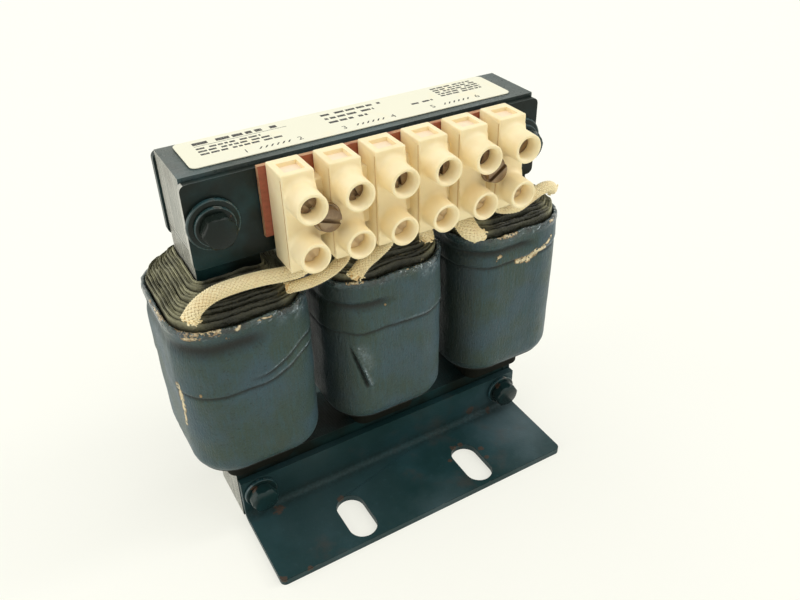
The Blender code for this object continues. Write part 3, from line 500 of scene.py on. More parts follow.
def paint_layers(tree):
    """Edges of paper and wire layers under varnish, pale on their crests, most of all on the sides that
    face along X.
    """
    crest = tree.attribute("crest")
    side_paleness = tree.attribute("side_paleness")
    broken = tree.patches(0.0040, 0.26, 0.62, 4.0)
    pale = crest * (0.35 + broken * 0.65) * (0.14 + side_paleness * 0.86)
    base = tree.blend(pale, tint("layer_shade"), tint("layer"))
    tan_spots = tree.patches(0.0040, 0.66, 0.72, 5.0, 0.65) * crest
    base = tree.over(base, tan_spots * (0.5 * sizes().wear), "torn_tape")
    roughness = 0.30 + (tree.grain(0.003) - 0.5) * 0.4 + side_paleness * 0.22
    height = tree.grain(0.0007, 4.0) + tree.grain(0.0022) * 1.5
    normal = tree.bump(height, 0.00030)
    tree.surface(Base_Color=base, Roughness=roughness, Normal=normal, Specular_IOR_Level=0.3)


def paint_moulding(tree):
    """Cream plastic with a soft sheen, deeper tones in patches and faint flow marks."""
    tone = tree.patches(0.007, 0.35, 0.75)
    base = tree.blend(tone * 0.45, tint("strip"), tint("strip_shade"))
    dirt = tree.patches(0.0010, 0.66, 0.76, 4.0, 0.7) * tree.patches(0.006, 0.48, 0.66)
    base = tree.over(base, dirt * 0.35, "sleeve_shade")
    height = tree.grain(0.0015) + tree.grain(0.0003, 2.0) * 0.25
    tree.surface(
        Base_Color=base,
        Roughness=0.42 + (tree.grain(0.002) - 0.5) * 0.15,
        Normal=tree.bump(height, 0.00004),
        Subsurface_Weight=0.15,
        Subsurface_Radius=(0.0010, 0.0009, 0.0006),
        Subsurface_Scale=1.0,
    )


def paint_fibre(tree, pale=0.0):
    """Pressed red-brown fibre, with paler cut edges."""
    fleck = tree.grain(0.0007, 4.0, factors=(0.4, 1, 1))
    base = tree.blend(tree.step(fleck, 0.35, 0.70) * 0.35, tint("fibre"), tint("rust"))
    base = tree.over(base, tree.patches(0.0012, 0.25, 0.55) * pale, "strip_shade")
    height = tree.bump(fleck, 0.00005)
    tree.surface(Base_Color=base, Roughness=0.62 + fleck * 0.15, Normal=height)


def paint_sleeve(tree):
    """Glass yarn, cream where it is clean and tan where varnish has soaked in."""
    end = tree.attribute("end")
    soiled = tree.patches(0.0040, 0.48, 0.70, 4.0)
    base = tree.blend(soiled * 0.30, tint("sleeve"), tint("sleeve_shade"))
    threads = tree.grain(0.00018, 2.0)
    base = tree.over(base, tree.step(threads, 0.50, 0.75) * 0.30, "sleeve_shade")
    speck = tree.patches(0.0007, 0.50, 0.62) * tree.step(end, 0.55, 0.95)
    base = tree.over(base, speck, "rust")
    tree.surface(Base_Color=base, Roughness=0.72 + threads * 0.2, Normal=tree.bump(threads, 0.00005))


def paint_liner(tree):
    """The shaded inside of a sleeve."""
    threads = tree.grain(0.0004)
    base = tree.blend(tree.step(threads, 0.55, 0.85) * 0.6, tint("sleeve_shade"), tint("rust"))
    tree.surface(Base_Color=base, Roughness=0.85, Normal=tree.bump(threads, 0.00005))


def paint_metal(tree, name, rough, tarnish, metal=1.0):
    """Bare metal with turning marks, and tarnish and dirt in patches."""
    marks = tree.grain(0.00025)
    dull = tree.patches(0.0016, 0.38, 0.66, 4.0)
    base = tree.blend(dull * tarnish, tint(name), tint("rust"))
    roughness = rough + (marks - 0.5) * 0.2 + dull * 0.2
    metallic = metal - dull * (metal * tarnish)
    normal = tree.bump(marks + tree.grain(0.0012), 0.00004)
    tree.surface(Base_Color=base, Roughness=roughness, Metallic=metallic, Normal=normal)


def paint_board(tree):
    """Pressed board, soaked in varnish."""
    fleck = tree.grain(0.0008, 4.0, factors=(1, 1, 0.3))
    base = tree.blend(tree.step(fleck, 0.3, 0.7), tint("board"), tint("layer_shade"))
    tree.surface(Base_Color=base, Roughness=0.6 + fleck * 0.2, Normal=tree.bump(fleck, 0.00008),
                 Specular_IOR_Level=0.1)


def paint_label(tree):
    """Coated paper, slightly yellowed, with a few faint smudges."""
    smudge = tree.patches(0.006, 0.55, 0.75, 4.0)
    base = tree.blend(smudge * 0.25, tint("label"), tint("strip"))
    pulp = tree.grain(0.0005)
    tree.surface(Base_Color=base, Roughness=0.5 + smudge * 0.12, Normal=tree.bump(pulp, 0.00001))


def paint_ink(tree):
    """Dull print, thinner in places."""
    thin = tree.patches(0.0005, 0.50, 0.78)
    base = tree.blend(thin * 0.55, tint("ink"), tint("label"))
    tree.surface(Base_Color=base, Roughness=0.6 + thin * 0.1)


def paint_floor(tree):
    """Plain pale paper that keeps the shadow."""
    base = tree.blend(tree.grain(0.4, 2.0) * 0.03, tint("floor"), tint("label"))
    lit = tree.node("ShaderNodeBsdfDiffuse", None, {"Color": base})
    pale = tree.node("ShaderNodeEmission", None, {"Color": tint("floor"), "Strength": 1.0})
    both = tree.node("ShaderNodeMixShader", None, {0: seen_rays(tree) * 0.62, 1: lit, 2: pale})
    tree.node("ShaderNodeOutputMaterial", None, {"Surface": both})


def seen_rays(tree):
    """1 for what the camera sees straight, in gloss or through glass."""
    path = tree.node("ShaderNodeLightPath").socket.node.outputs
    kinds = [Wire(tree, path[name]) for name in ("Is Camera Ray", "Is Glossy Ray", "Is Transmission Ray")]
    return tree.math("MAXIMUM", kinds[0], tree.math("MAXIMUM", kinds[1], kinds[2]))


def middle_and_half(node):
    """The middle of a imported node's box, and half its size."""
    low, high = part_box(node)
    return (low + high) / 2, (high - low) / 2


def centre_of(node):
    return middle_and_half(node)[0]


def pair(kind):
    """The names of a kind's left and right nodes."""
    return [kind + "_left", kind + "_right"]


def places_of(names, y):
    """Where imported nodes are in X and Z, all set at one depth."""
    return [(centre_of(name).x, y, centre_of(name).z) for name in names]


def held(data, name="holder"):
    """A passing object that holds a mesh or a curve while it is worked on."""
    item = bpy.data.objects.new(name, data)
    bpy.context.scene.collection.objects.link(item)
    return item


def baked(item, *helpers):
    """The plain mesh that a passing object evaluates to; it and its helpers are removed."""
    bpy.context.view_layer.update()
    graph = bpy.context.evaluated_depsgraph_get()
    mesh = bpy.data.meshes.new_from_object(item.evaluated_get(graph), depsgraph=graph)
    for other in (item, *helpers):
        bpy.data.objects.remove(other, do_unlink=True)
    return mesh


def worked(mesh, *steps):
    """Runs bmesh steps on a mesh and turns its faces outwards."""
    shape = bmesh.new()
    shape.from_mesh(mesh)
    for step in steps:
        step(shape)
    bmesh.ops.recalc_face_normals(shape, faces=shape.faces)
    shape.to_mesh(mesh)
    shape.free()
    return mesh


def merge(shape):
    bmesh.ops.remove_doubles(shape, verts=shape.verts, dist=1e-7)


def circle(radius, centre, sides=24):
    turns = [2 * pi * (k + 0.5) / sides for k in range(sides)]
    return [(centre[0] + radius * cos(turn), centre[1] + radius * sin(turn)) for turn in turns]


def round_holes(names, radius, middle_x=0.0, middle_z=0.0):
    """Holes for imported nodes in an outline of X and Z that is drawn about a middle."""
    places = [centre_of(name) for name in names]
    return [circle(radius, (place.x - middle_x, place.z - middle_z)) for place in places]


def bar(left, right, low, high):
    """The outline of a plain rectangle."""
    return [(left, low), (right, low), (right, high), (left, high)]


def rounded_rectangle(half_x, half_y, corner, steps=8, centre=(0, 0)):
    points = []
    for quarter in range(4):
        side_x = (1, -1, -1, 1)[quarter]
        side_y = (1, 1, -1, -1)[quarter]
        for k in range(steps + 1):
            turn = pi / 2 * (quarter + k / steps)
            x = side_x * (half_x - corner) + corner * cos(turn)
            y = side_y * (half_y - corner) + corner * sin(turn)
            points.append((centre[0] + x, centre[1] + y))
    return points


def flat_curve(loops, thickness):
    curve = bpy.data.curves.new("outline", "CURVE")
    curve.dimensions = "2D"
    curve.fill_mode = "BOTH"
    curve.extrude = thickness / 2
    for loop in loops:
        spline = curve.splines.new("POLY")
        spline.points.add(len(loop) - 1)
        for point, place in zip(spline.points, loop):
            point.co = (*place, 0.0, 1.0)
        spline.use_cyclic_u = True
    return curve


def sheet(loops, thickness):
    """A flat outline with its holes, given a thickness about z = 0."""
    return worked(baked(held(flat_curve(loops, thickness))), merge)


def upright(mesh):
    """Turns a mesh drawn in X and Y so that it stands in X and Z and faces -Y."""
    mesh.transform(Matrix.Rotation(pi / 2, 4, "X"))
    return mesh


def moved(mesh, place):
    mesh.transform(Matrix.Translation(place))
    return mesh


def block(size, centre=(0, 0, 0)):
    mesh = bpy.data.meshes.new("block")
    matrix = Matrix.Translation(centre) @ Matrix.Diagonal((*size, 1.0))
    return worked(mesh, lambda shape: bmesh.ops.create_cube(shape, size=1.0, matrix=matrix))


def turned(profile, sides):
    """A solid turned about Y from a profile of (radius, distance along Y)."""
    mesh = bpy.data.meshes.new("turned")

    def spin(shape):
        corners = [shape.verts.new((radius, along, 0)) for radius, along in profile]
        edges = [shape.edges.new(ends) for ends in zip(corners, corners[1:])]
        bmesh.ops.spin(shape, geom=corners + edges, cent=(0, 0, 0), axis=(0, 1, 0), angle=2 * pi,
                       steps=sides, use_merge=True, use_duplicate=False)

    return worked(mesh, spin, merge)


def evened(item):
    """Keeps large flat faces flat where they meet small rounded ones, and bakes the object."""
    item.data.shade_smooth()
    normals = item.modifiers.new("normals", "WEIGHTED_NORMAL")
    normals.keep_sharp = True
    return baked(item)


def softened(mesh, width, segments=3, angle=40, edge_slot=-1):
    """Rounds the sharp edges; the new faces may take their own material slot."""
    item = held(mesh)
    for _ in range(edge_slot + 1 - len(mesh.materials)):
        mesh.materials.append(None)
    edge = item.modifiers.new("edge", "BEVEL")
    edge.width = width
    edge.segments = segments
    edge.limit_method = "ANGLE"
    edge.angle_limit = radians(angle)
    edge.material = edge_slot
    return evened(item)


def boolean(mesh, operation, *others):
    """The mesh with others joined on or cut away."""
    item = held(mesh)
    helpers = [held(other, "helper") for other in others]
    for helper in helpers:
        cut = item.modifiers.new("cut", "BOOLEAN")
        cut.operation = operation
        cut.object = helper
    return baked(item, *helpers)


def joined(*meshes):
    """One mesh that holds several."""
    result = bpy.data.meshes.new("joined")
    shape = bmesh.new()
    for mesh in meshes:
        shape.from_mesh(mesh)
    shape.to_mesh(result)
    shape.free()
    return result


def sort_faces(mesh, slot_of):
    """Puts each face in the material slot that slot_of gives for it."""
    for face in mesh.polygons:
        face.material_index = int(slot_of(face))


def add_piece(name, mesh, finishes, nodes=(), sharp=SHARP_ANGLE):
    """A finished piece of the reactor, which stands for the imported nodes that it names."""
    mesh.name = name
    slots = np.zeros(len(mesh.polygons), np.int32)
    mesh.polygons.foreach_get("material_index", slots)
    mesh.materials.clear()
    for material in finishes if isinstance(finishes, list) else [finishes]:
        mesh.materials.append(material)
    mesh.polygons.foreach_set("material_index", np.minimum(slots, len(mesh.materials) - 1))
    if sharp:
        mesh.shade_smooth()
        mesh.set_sharp_from_angle(angle=radians(sharp))
    piece = held(mesh, name)
    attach(piece, BODY)
    if nodes:
        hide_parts(*nodes)
    return piece


def dress_node(name, material):
    """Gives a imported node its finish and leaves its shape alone."""
    mesh = frame["nodes"][name].data
    mesh.materials.clear()
    mesh.materials.append(material)


class Shape(Tree):
    """A geometry tree with named inputs, whose result is realised and given its material."""

    KINDS = {int: "Int", float: "Float", tuple: "Vector", bpy.types.Object: "Object"}

    def __init__(self, name, **inputs):
        super().__init__(bpy.data.node_groups.new(name, "GeometryNodeTree"))
        panel = self.tree.interface
        self.values = {"Material": None, **inputs}
        panel.new_socket("Geometry", in_out="INPUT", socket_type="NodeSocketGeometry")
        panel.new_socket("Material", in_out="INPUT", socket_type="NodeSocketMaterial")
        for label, value in inputs.items():
            kind = "NodeSocket" + self.KINDS[type(value)]
            panel.new_socket(label, in_out="INPUT", socket_type=kind)
        panel.new_socket("Geometry", in_out="OUTPUT", socket_type="NodeSocketGeometry")
        self.start = self.tree.nodes.new("NodeGroupInput")

    def __getitem__(self, label):
        return Wire(self, self.start.outputs[label])

    def on_points(self, points, instance, **others):
        """Copies on points, made real."""
        inputs = {"Points": points, "Instance": instance, **others}
        copies = self.node("GeometryNodeInstanceOnPoints", None, inputs)
        return self.node("GeometryNodeRealizeInstances", None, {"Geometry": copies})

    def line(self, count, start, offset):
        inputs = {"Count": count, "Start Location": start, "Offset": offset}
        return self.node("GeometryNodeMeshLine", None, inputs)

    def shifted(self, geometry, **inputs):
        """The geometry with its points moved by Offset or put at Position."""
        return self.node("GeometryNodeSetPosition", None, {"Geometry": geometry, **inputs})

    def stored(self, geometry, name, value):
        """The geometry with a number kept on each of its points."""
        settings = {"data_type": "FLOAT", "domain": "POINT"}
        inputs = {"Geometry": geometry, "Name": name, "Value": value}
        return self.node("GeometryNodeStoreNamedAttribute", settings, inputs)

    def kept(self, name):
        """A number that the points keep under this name."""
        return self.node("GeometryNodeInputNamedAttribute", {"data_type": "FLOAT"}, {"Name": name})

    def chance(self, owner, seed):
        """A random number from 0 to 1 for each owner."""
        inputs = {"Min": 0.0, "Max": 1.0, "ID": owner, "Seed": seed}
        return self.node("FunctionNodeRandomValue", {"data_type": "FLOAT"}, inputs, output=1)

    def of(self, item):
        """The geometry of an object input."""
        return self.node("GeometryNodeObjectInfo", None, {"Object": item}, output="Geometry")

    def grow(self, geometry, data, material):
        """Ends the tree, runs it on a mesh or a curve and gives the plain mesh."""
        real = self.node("GeometryNodeRealizeInstances", None, {"Geometry": geometry})
        inputs = {"Geometry": real, "Material": self["Material"]}
        done = self.node("GeometryNodeSetMaterial", None, inputs)
        end = self.tree.nodes.new("NodeGroupOutput")
        self.tree.links.new(done.socket, end.inputs["Geometry"])
        item = held(data)
        modifier = item.modifiers.new(self.tree.name, "NODES")
        modifier.node_group = self.tree
        self.values["Material"] = material
        for socket in self.tree.interface.items_tree:
            if socket.in_out == "INPUT" and socket.name in self.values:
                modifier[socket.identifier] = self.values[socket.name]
        helpers = [value for value in self.values.values() if isinstance(value, bpy.types.Object)]
        return baked(item, *helpers)


def stacked(outline, holes, middle_y, depth, seed, finishes):
    """Core sheets side by side along Y, each a hair out of line, with their cut ends marked."""
    count = round(depth / sizes().sheet_pitch)
    pitch = depth / count
    pattern = upright(softened(sheet([outline, *holes], 0.96 * depth / count), 0.00004, 1, CUT_EDGE_ANGLE))
    tree = Shape("sheet_stack", Sheets=count, Pitch=pitch, Jitter=sizes().sheet_jitter, Seed=seed,
                 Start=(0.0, middle_y - depth / 2 + depth / count / 2, 0.0))
    line = tree.line(tree["Sheets"], tree["Start"], tree.combined(Y=tree["Pitch"]))
    least = tree.combined(X=tree["Jitter"] * -1.0)
    most = tree.combined(X=tree["Jitter"], Z=tree["Jitter"])
    inputs = {"Min": least, "Max": most, "Seed": tree["Seed"]}
    stray = tree.node("FunctionNodeRandomValue", {"data_type": "FLOAT_VECTOR"}, inputs)
    line = tree.shifted(line, Offset=stray)
    mesh = tree.grow(tree.on_points(line, tree["Geometry"]), pattern, finishes[0])
    reach = max(x for x, _ in outline) - 0.0002
    sort_faces(mesh, lambda face: abs(face.normal.x) > 0.8 and abs(face.center.x) > reach)
    return mesh


def core_sheets():
    """The stack with the three legs, the stack that closes it, and the spacer's finish."""
    low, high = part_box("core_e_stack")
    half, leg_top = high.x, high.z
    inner = LEG_WIDTH / 2
    window = half - LEG_WIDTH
    outline = [
        (-half, 0), (half, 0), (half, leg_top), (window, leg_top), (window, YOKE_HEIGHT),
        (inner, YOKE_HEIGHT), (inner, leg_top), (-inner, leg_top), (-inner, YOKE_HEIGHT),
        (-window, YOKE_HEIGHT), (-window, leg_top), (-half, leg_top),
    ]
    depth = high.y - low.y
    middle = (low.y + high.y) / 2
    # The cut ends of the sheets carry a painted reflection.
    end = finish("core_end_varnish_lit", paint_steel, rough=0.34, haze=0.4, shine=0.6, pale=1.0)
    # The lower core's copy of the varnish is shaded: painted shade under and between the coils.
    face = finish("lower_core_varnish_shaded", paint_steel, rough=0.42, haze=0.20, shine=0.10, deep=0.9)
    holes = round_holes(pair("bolt_lower"), BOLT_HOLE_RADIUS)
    mesh = stacked(outline, holes, middle, depth, 3, [face, end])
    add_piece("core_e_sheets", mesh, [face, end], ["core_e_stack"])
    dress_node("gap_spacer", end)
    low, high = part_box("core_i_stack")
    # The upper core's copy of the varnish is lit: painted sheen and a faint painted reflection.
    face = finish("upper_core_varnish_lit", paint_steel, rough=0.30, haze=0.75, shine=0.6, pale=0.14)
    holes = round_holes(pair("bolt_upper"), BOLT_HOLE_RADIUS)
    mesh = stacked(bar(low.x, high.x, low.z, high.z), holes, middle, depth, 8, [face, end])
    add_piece("core_i_sheets", mesh, [face, end], ["core_i_stack"])


def clamp_plates():
    """Two bars on the upper yoke, with worn edges that carry a painted highlight; the front one's cut ends
    carry a painted reflection.
    """
    plain = finish("plate_varnish", paint_steel, rough=0.34, haze=0.30, shine=0.20, deep=0.85)
    # Worn edges, partly bare steel and partly painted highlight.
    edge = finish("plate_edge_worn_and_lit", paint_steel, rough=0.26, worn=0.45, haze=1.0, shine=0.6)
    # The front plate's cut ends carry the same painted reflection.
    cut = finish("plate_cut_ends_lit", paint_steel, rough=0.30, haze=0.4, shine=0.6, pale=1.0)
    for name in ("clamp_plate_front", "clamp_plate_rear"):
        centre, half = middle_and_half(name)
        holes = round_holes(pair("bolt_upper"), BOLT_HOLE_RADIUS, 0.0, centre.z)
        outline = rounded_rectangle(half.x, half.z, CLAMP_CORNER)
        plate = sheet([outline, *holes], 2 * half.y)
        mesh = softened(plate, CLAMP_EDGE, 4, CUT_EDGE_ANGLE, edge_slot=1)
        mesh = moved(upright(mesh), (0, centre.y, centre.z))
        if name.endswith("front"):
            sort_faces(mesh, lambda face: 2 if abs(face.normal.x) > 0.35 else face.material_index)
        add_piece(name + "_bar", mesh, [plain, edge, cut], [name], sharp=0)


def foot_blank(low, high, bend_length):
    """The flat blank of a foot: X along it, -Y from the top of its leg round to its front edge."""
    outer = FOOT_BEND_RADIUS + FOOT_THICKNESS
    leg = high.z - outer
    flange = (high.y - low.y) - outer
    reach = leg + bend_length + flange
    half = high.x
    corner = FOOT_CORNER
    turns = [radians(90 * k / 6) for k in range(7)]
    right = [(half - corner + corner * cos(turn), -reach + corner - corner * sin(turn)) for turn in turns]
    left = [(-half + corner - corner * sin(turn), -reach + corner - corner * cos(turn)) for turn in turns]
    outline = [(-half, 0), (half, 0), *right, *left]
    slot_y = -reach + SLOT_EDGE_MARGIN + SLOT_LENGTH / 2
    slot_half = SLOT_WIDTH / 2
    slots = [
        rounded_rectangle(slot_half, SLOT_LENGTH / 2, slot_half - 1e-6, 10, (slot_x, slot_y))
        for slot_x in (-SLOT_SPACING / 2, SLOT_SPACING / 2)
    ]
    holes = round_holes(pair("bolt_lower"), BOLT_HOLE_RADIUS, 0.0, high.z)
    return sheet([outline, *slots, *holes], FOOT_THICKNESS), leg


def foot_mesh(low, high, turn=0.0):
    """The blank, softened at its edges, bent to an angle about a line along X and turned about Z."""
    radius = FOOT_BEND_RADIUS + FOOT_THICKNESS / 2
    bend_length = radius * pi / 2
    blank, leg = foot_blank(low, high, bend_length)
    blank = softened(blank, FOOT_EDGE, 3, CUT_EDGE_ANGLE, edge_slot=1)

    def score(shape):
        for k in range(13):
            line = -leg - bend_length * k / 12
            everything = [*shape.verts, *shape.edges, *shape.faces]
            bmesh.ops.bisect_plane(shape, geom=everything, plane_co=(0, line, 0), plane_no=(0, 1, 0))

    def bend(shape):
        centre_y = high.y - FOOT_THICKNESS - FOOT_BEND_RADIUS
        centre_z = FOOT_THICKNESS + FOOT_BEND_RADIUS
        for vert in shape.verts:
            x, along, side = vert.co.x, -vert.co.y, vert.co.z
            if along <= leg:
                vert.co = (x, centre_y + radius - side, high.z - along)
            elif along <= leg + bend_length:
                angle = (along - leg) / radius
                reach = radius - side
                vert.co = (x, centre_y + reach * cos(angle), centre_z - reach * sin(angle))
            else:
                vert.co = (x, centre_y - (along - leg - bend_length), FOOT_THICKNESS / 2 + side)

    mesh = worked(blank, score, bend)
    mesh.transform(Matrix.Rotation(turn, 4, "Z"))
    return evened(held(mesh))


def feet():
    """The front foot with its rust at bolts, slots and corner, painted sheen on its flange and painted
    shade in its bend, and the plain rear one; both have painted shade on their edges.
    """
    low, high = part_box("foot_angle_front")
    bolts = [centre_of(name) for name in pair("bolt_lower")]
    face_y = high.y - FOOT_THICKNESS
    top = FOOT_THICKNESS
    slot_y = low.y + SLOT_EDGE_MARGIN + SLOT_LENGTH
    slot_x = SLOT_SPACING / 2
    spots = [
        (bolts[0].x, face_y, bolts[0].z, 0.0070),
        (bolts[0].x + 0.0035, face_y - 0.003, top + 0.001, 0.0034),
        (bolts[1].x, face_y, bolts[1].z - 0.003, 0.0055),
        (-slot_x - 0.0010, slot_y - 0.0002, top, 0.0022),
        (slot_x - 0.0014, slot_y - 0.0003, top, 0.0022),
        (slot_x + 0.0010, slot_y - 0.0001, top, 0.0016),
        (slot_x + 0.0054, slot_y - 0.0046, top, 0.0019),
        (slot_x + 0.0050, slot_y - 0.0084, top, 0.0014),
        (slot_x - 0.0052, slot_y - 0.0040, top, 0.0012),
        (bolts[1].x - 0.0110, face_y + 0.0002, top + 0.0030, 0.0026),
        (bolts[1].x - 0.0045, face_y - 0.0012, top + 0.0010, 0.0024),
        (low.x + 0.0004, low.y + 0.0006, top, 0.0024),
        (low.x + 0.0080, low.y, top, 0.0016),
    ]
    # Painted sheen on the foot: x, y, z, radius and strength.
    blooms = [
        (high.x - 0.003, low.y + 0.014, top, 0.034, 0.42),
        (0.004, low.y - 0.002, top, 0.020, 0.22),
        (-0.026, low.y + 0.014, top, 0.052, 0.11),
    ]
    # Where the painted shade in the bend lies.
    fold = (face_y - 0.0006, top + 0.0006, 0.0034)
    face = finish("foot_varnish", paint_steel, spots=spots, rough=0.42, haze=0.35, shine=0.18,
                  blooms=blooms, fold=fold)
    # Painted shade on the feet's edges, which face the bright floor.
    edge = finish("foot_edge_shaded", paint_steel, rough=0.50, worn=0.08, haze=0.1, shine=0.05, deep=0.9)
    plain = finish("rear_foot_varnish", paint_steel, rough=0.42, haze=0.35, shine=0.28)
    for name, turn, varnish in (("front", 0.0, face), ("rear", pi, plain)):
        mesh = foot_mesh(low, high, turn)
        nodes = ["foot_angle_" + name]
        add_piece("foot_" + name, mesh, [varnish, edge], nodes, sharp=0)


def bridge(shape, near, far):
    """Faces between two closed rings of points."""
    for k, point in enumerate(near):
        following = (k + 1) % len(near)
        shape.faces.new((point, near[following], far[following], far[k]))


def hex_solid(start, end, bore=0.0):
    """A hexagon along Y whose corners are turned off in a cone at both ends."""
    flat = HEX_WIDTH / 2
    corner = flat / cos(pi / 6)
    steps = (0, 0.3 * HEX_CHAMFER, HEX_CHAMFER, 2 * HEX_CHAMFER)
    heights = [start + step for step in steps] + [end - step for step in steps[:1:-1]] + [end]
    turns = [2 * pi * k / HEX_COLUMNS for k in range(HEX_COLUMNS)]

    def radius(turn, along):
        off = abs((turn + pi / 6) % (pi / 3) - pi / 6)
        plain = min(flat / cos(off), corner - 0.00018)
        front = flat * 0.93 + (along - start) * 1.5
        back = flat * 0.97 + (end - along) * 1.5
        return min(plain, front, back)

    def ring(shape, along, reach):
        return [shape.verts.new((reach(t, along) * sin(t), along, reach(t, along) * cos(t))) for t in turns]

    def grid(shape):
        rings = [ring(shape, along, radius) for along in heights]
        for near, far in zip(rings, rings[1:]):
            bridge(shape, near, far)
        if bore:
            mouths = [ring(shape, along, lambda turn, along: bore) for along in (start, end)]
            bridge(shape, rings[0], mouths[0])
            bridge(shape, rings[-1], mouths[1])
            bridge(shape, *mouths)
        else:
            shape.faces.new(rings[0])
            shape.faces.new(rings[-1])

    return worked(bpy.data.meshes.new("hexagon"), grid)


def washer_mesh(outer, thickness, edge=0.0002):
    """A flat ring from y = 0 towards -Y, with soft edges."""
    inner = BOLT_HOLE_RADIUS
    profile = [(inner, 0), (outer - edge, 0), (outer, -edge), (outer, -thickness + edge)]
    profile += [(outer - 0.3 * edge, -thickness + 0.3 * edge), (outer - edge, -thickness)]
    profile += [(inner + edge, -thickness), (inner, -thickness + edge), (inner, 0)]
    return turned(profile, 48)


def copies(name, pattern, places, material, turns=()):
    """Copies of one mesh at given places, each turned about Y."""
    points = bpy.data.meshes.new(name + "_places")
    points.from_pydata(places, [], [])
    spin = points.attributes.new("turn", "FLOAT", "POINT")
    spin.data.foreach_set("value", list(turns) or [0.0] * len(places))
    tree = Shape(name, Pattern=held(pattern, "pattern"))
    rotation = tree.combined(Y=tree.kept("turn"))
    real = tree.on_points(tree["Geometry"], tree.of(tree["Pattern"]), Rotation=rotation)
    return tree.grow(real, points, material)


# Rust spots on each bolt's head, from the middle of its face: right, back, up and radius
HEAD_RUST = {
    "upper": [(0.0035, 0.003, 0.0018, 0.0011)],
    "lower": [(-0.002, 0.003, 0.003, 0.0018), (0.002, 0.004, -0.003, 0.0024)],
}


def fastener_varnish(row, **settings):
    """The varnish on the bolts and nuts of a row, with a little rust on each."""
    spots = []
    for name in pair("bolt_" + row):
        bolt = centre_of(name)
        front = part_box(name)[0].y
        spots += [(bolt.x + x, front + y, bolt.z + z, radius) for x, y, z, radius in HEAD_RUST[row]]
    return finish(row + "_fasteners", paint_steel, spots=spots, **settings)


def bolt_mesh(row):
    """A hexagon head with a shank whose end is grooved."""
    low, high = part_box("bolt_%s_left" % row)
    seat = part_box("lock_washer_%s_left" % row)[0].y
    thread = [(0, seat - 0.002), (THREAD_RADIUS, seat - 0.002), (THREAD_RADIUS, high.y - THREAD_LENGTH)]
    for k in range(round(THREAD_LENGTH / THREAD_PITCH)):
        start = high.y - THREAD_LENGTH + THREAD_PITCH * k
        thread += [(THREAD_RADIUS - 0.00025, start + 0.0004), (THREAD_RADIUS, start + THREAD_PITCH)]
    thread = thread[:-1] + [(THREAD_RADIUS - 0.0006, high.y), (0, high.y)]
    return boolean(hex_solid(low.y, seat - 0.0001), "UNION", turned(thread, 32))


def nut_mesh(row):
    """A hexagon nut on its flange."""
    low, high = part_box("nut_%s_left" % row)
    flange = washer_mesh(FLANGE_RADIUS, FLANGE_THICKNESS)
    flange.transform(Matrix.Rotation(pi, 4, "Z"))
    body = hex_solid(low.y + 0.0005, high.y, BOLT_HOLE_RADIUS)
    return boolean(body, "UNION", moved(flange, (0, low.y, 0)))


def fasteners():
    """Bolts, nuts and washers: brushed over with varnish, rusty on the lower row."""
    varnish = {
        "upper": fastener_varnish("upper", rough=0.24, haze=0.15, shine=0.20, deep=0.85),
        "lower": fastener_varnish("lower", rough=0.20, haze=0.15, shine=0.26, deep=0.6),
    }
    for row, paint in varnish.items():
        places = places_of(pair("bolt_" + row), 0)
        for kind, pattern in (("bolt", bolt_mesh(row)), ("nut", nut_mesh(row))):
            name = "%ss_%s" % (kind, row)
            mesh = copies(name, pattern, places, paint)
            add_piece(name, mesh, paint, pair("%s_%s" % (kind, row)))
    # Washer rims: worn steel and a painted highlight on their edges.
    rim = finish("washer_rims_worn_and_lit", paint_steel, rough=0.28, worn=0.45, haze=1.0, shine=0.6)
    washers = (("wide_washer", "upper", 0.00035), ("lock_washer", "upper", 0.00025),
               ("lock_washer", "lower", 0.00025))
    for kind, row, edge in washers:
        both = pair("%s_%s" % (kind, row))
        low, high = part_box(both[0])
        ring = washer_mesh((high.x - low.x) / 2, high.y - low.y, edge)
        name = "%ss_%s" % (kind, row)
        mesh = copies(name, ring, places_of(both, high.y), varnish[row])
        sort_faces(mesh, lambda face: abs(face.normal.y) < 0.95)
        add_piece(name, mesh, [varnish[row], rim], both)


def round_path(half_x, half_y, corner, columns):
    """Even steps round a rounded rectangle: points and outward directions, as arrays."""
    straight_x, straight_y, arc = 2 * (half_x - corner), 2 * (half_y - corner), corner * pi / 2
    total = 2 * (straight_x + straight_y) + 4 * arc
    points, ways = [], []
    for k in range(columns):
        along = total * k / columns
        for quarter in range(4):
            run = (straight_y, straight_x)[quarter % 2]
            turn = pi / 2 * quarter
            way = Vector((cos(turn), sin(turn)))
            side = Vector((-sin(turn), cos(turn)))
            reach = (half_x, half_y)[quarter % 2]
            if along < run:
                points.append(way * reach + side * (along - run / 2))
                ways.append(way)
                break
            along -= run
            if along < arc:
                bend = turn + along / corner
                outward = Vector((cos(bend), sin(bend)))
                centre = way * (reach - corner) + side * (run / 2)
                points.append(centre + outward * corner)
                ways.append(outward)
                break
            along -= arc
    return np.array(points), np.array(ways)


def ring_points(points, ways, inset, height, centre_x):
    """Where each point of a ring's section is: a column for each point of the path."""
    places = np.empty(inset.shape + (3,))
    places[..., 0] = centre_x + points[:, None, 0] - ways[:, None, 0] * inset
    places[..., 1] = points[:, None, 1] - ways[:, None, 1] * inset
    places[..., 2] = height
    return places


def path_points(points, ways, centre_x):
    """The path alone, at z = 0."""
    flat = np.zeros((len(points), 1))
    return ring_points(points, ways, flat, flat, centre_x)


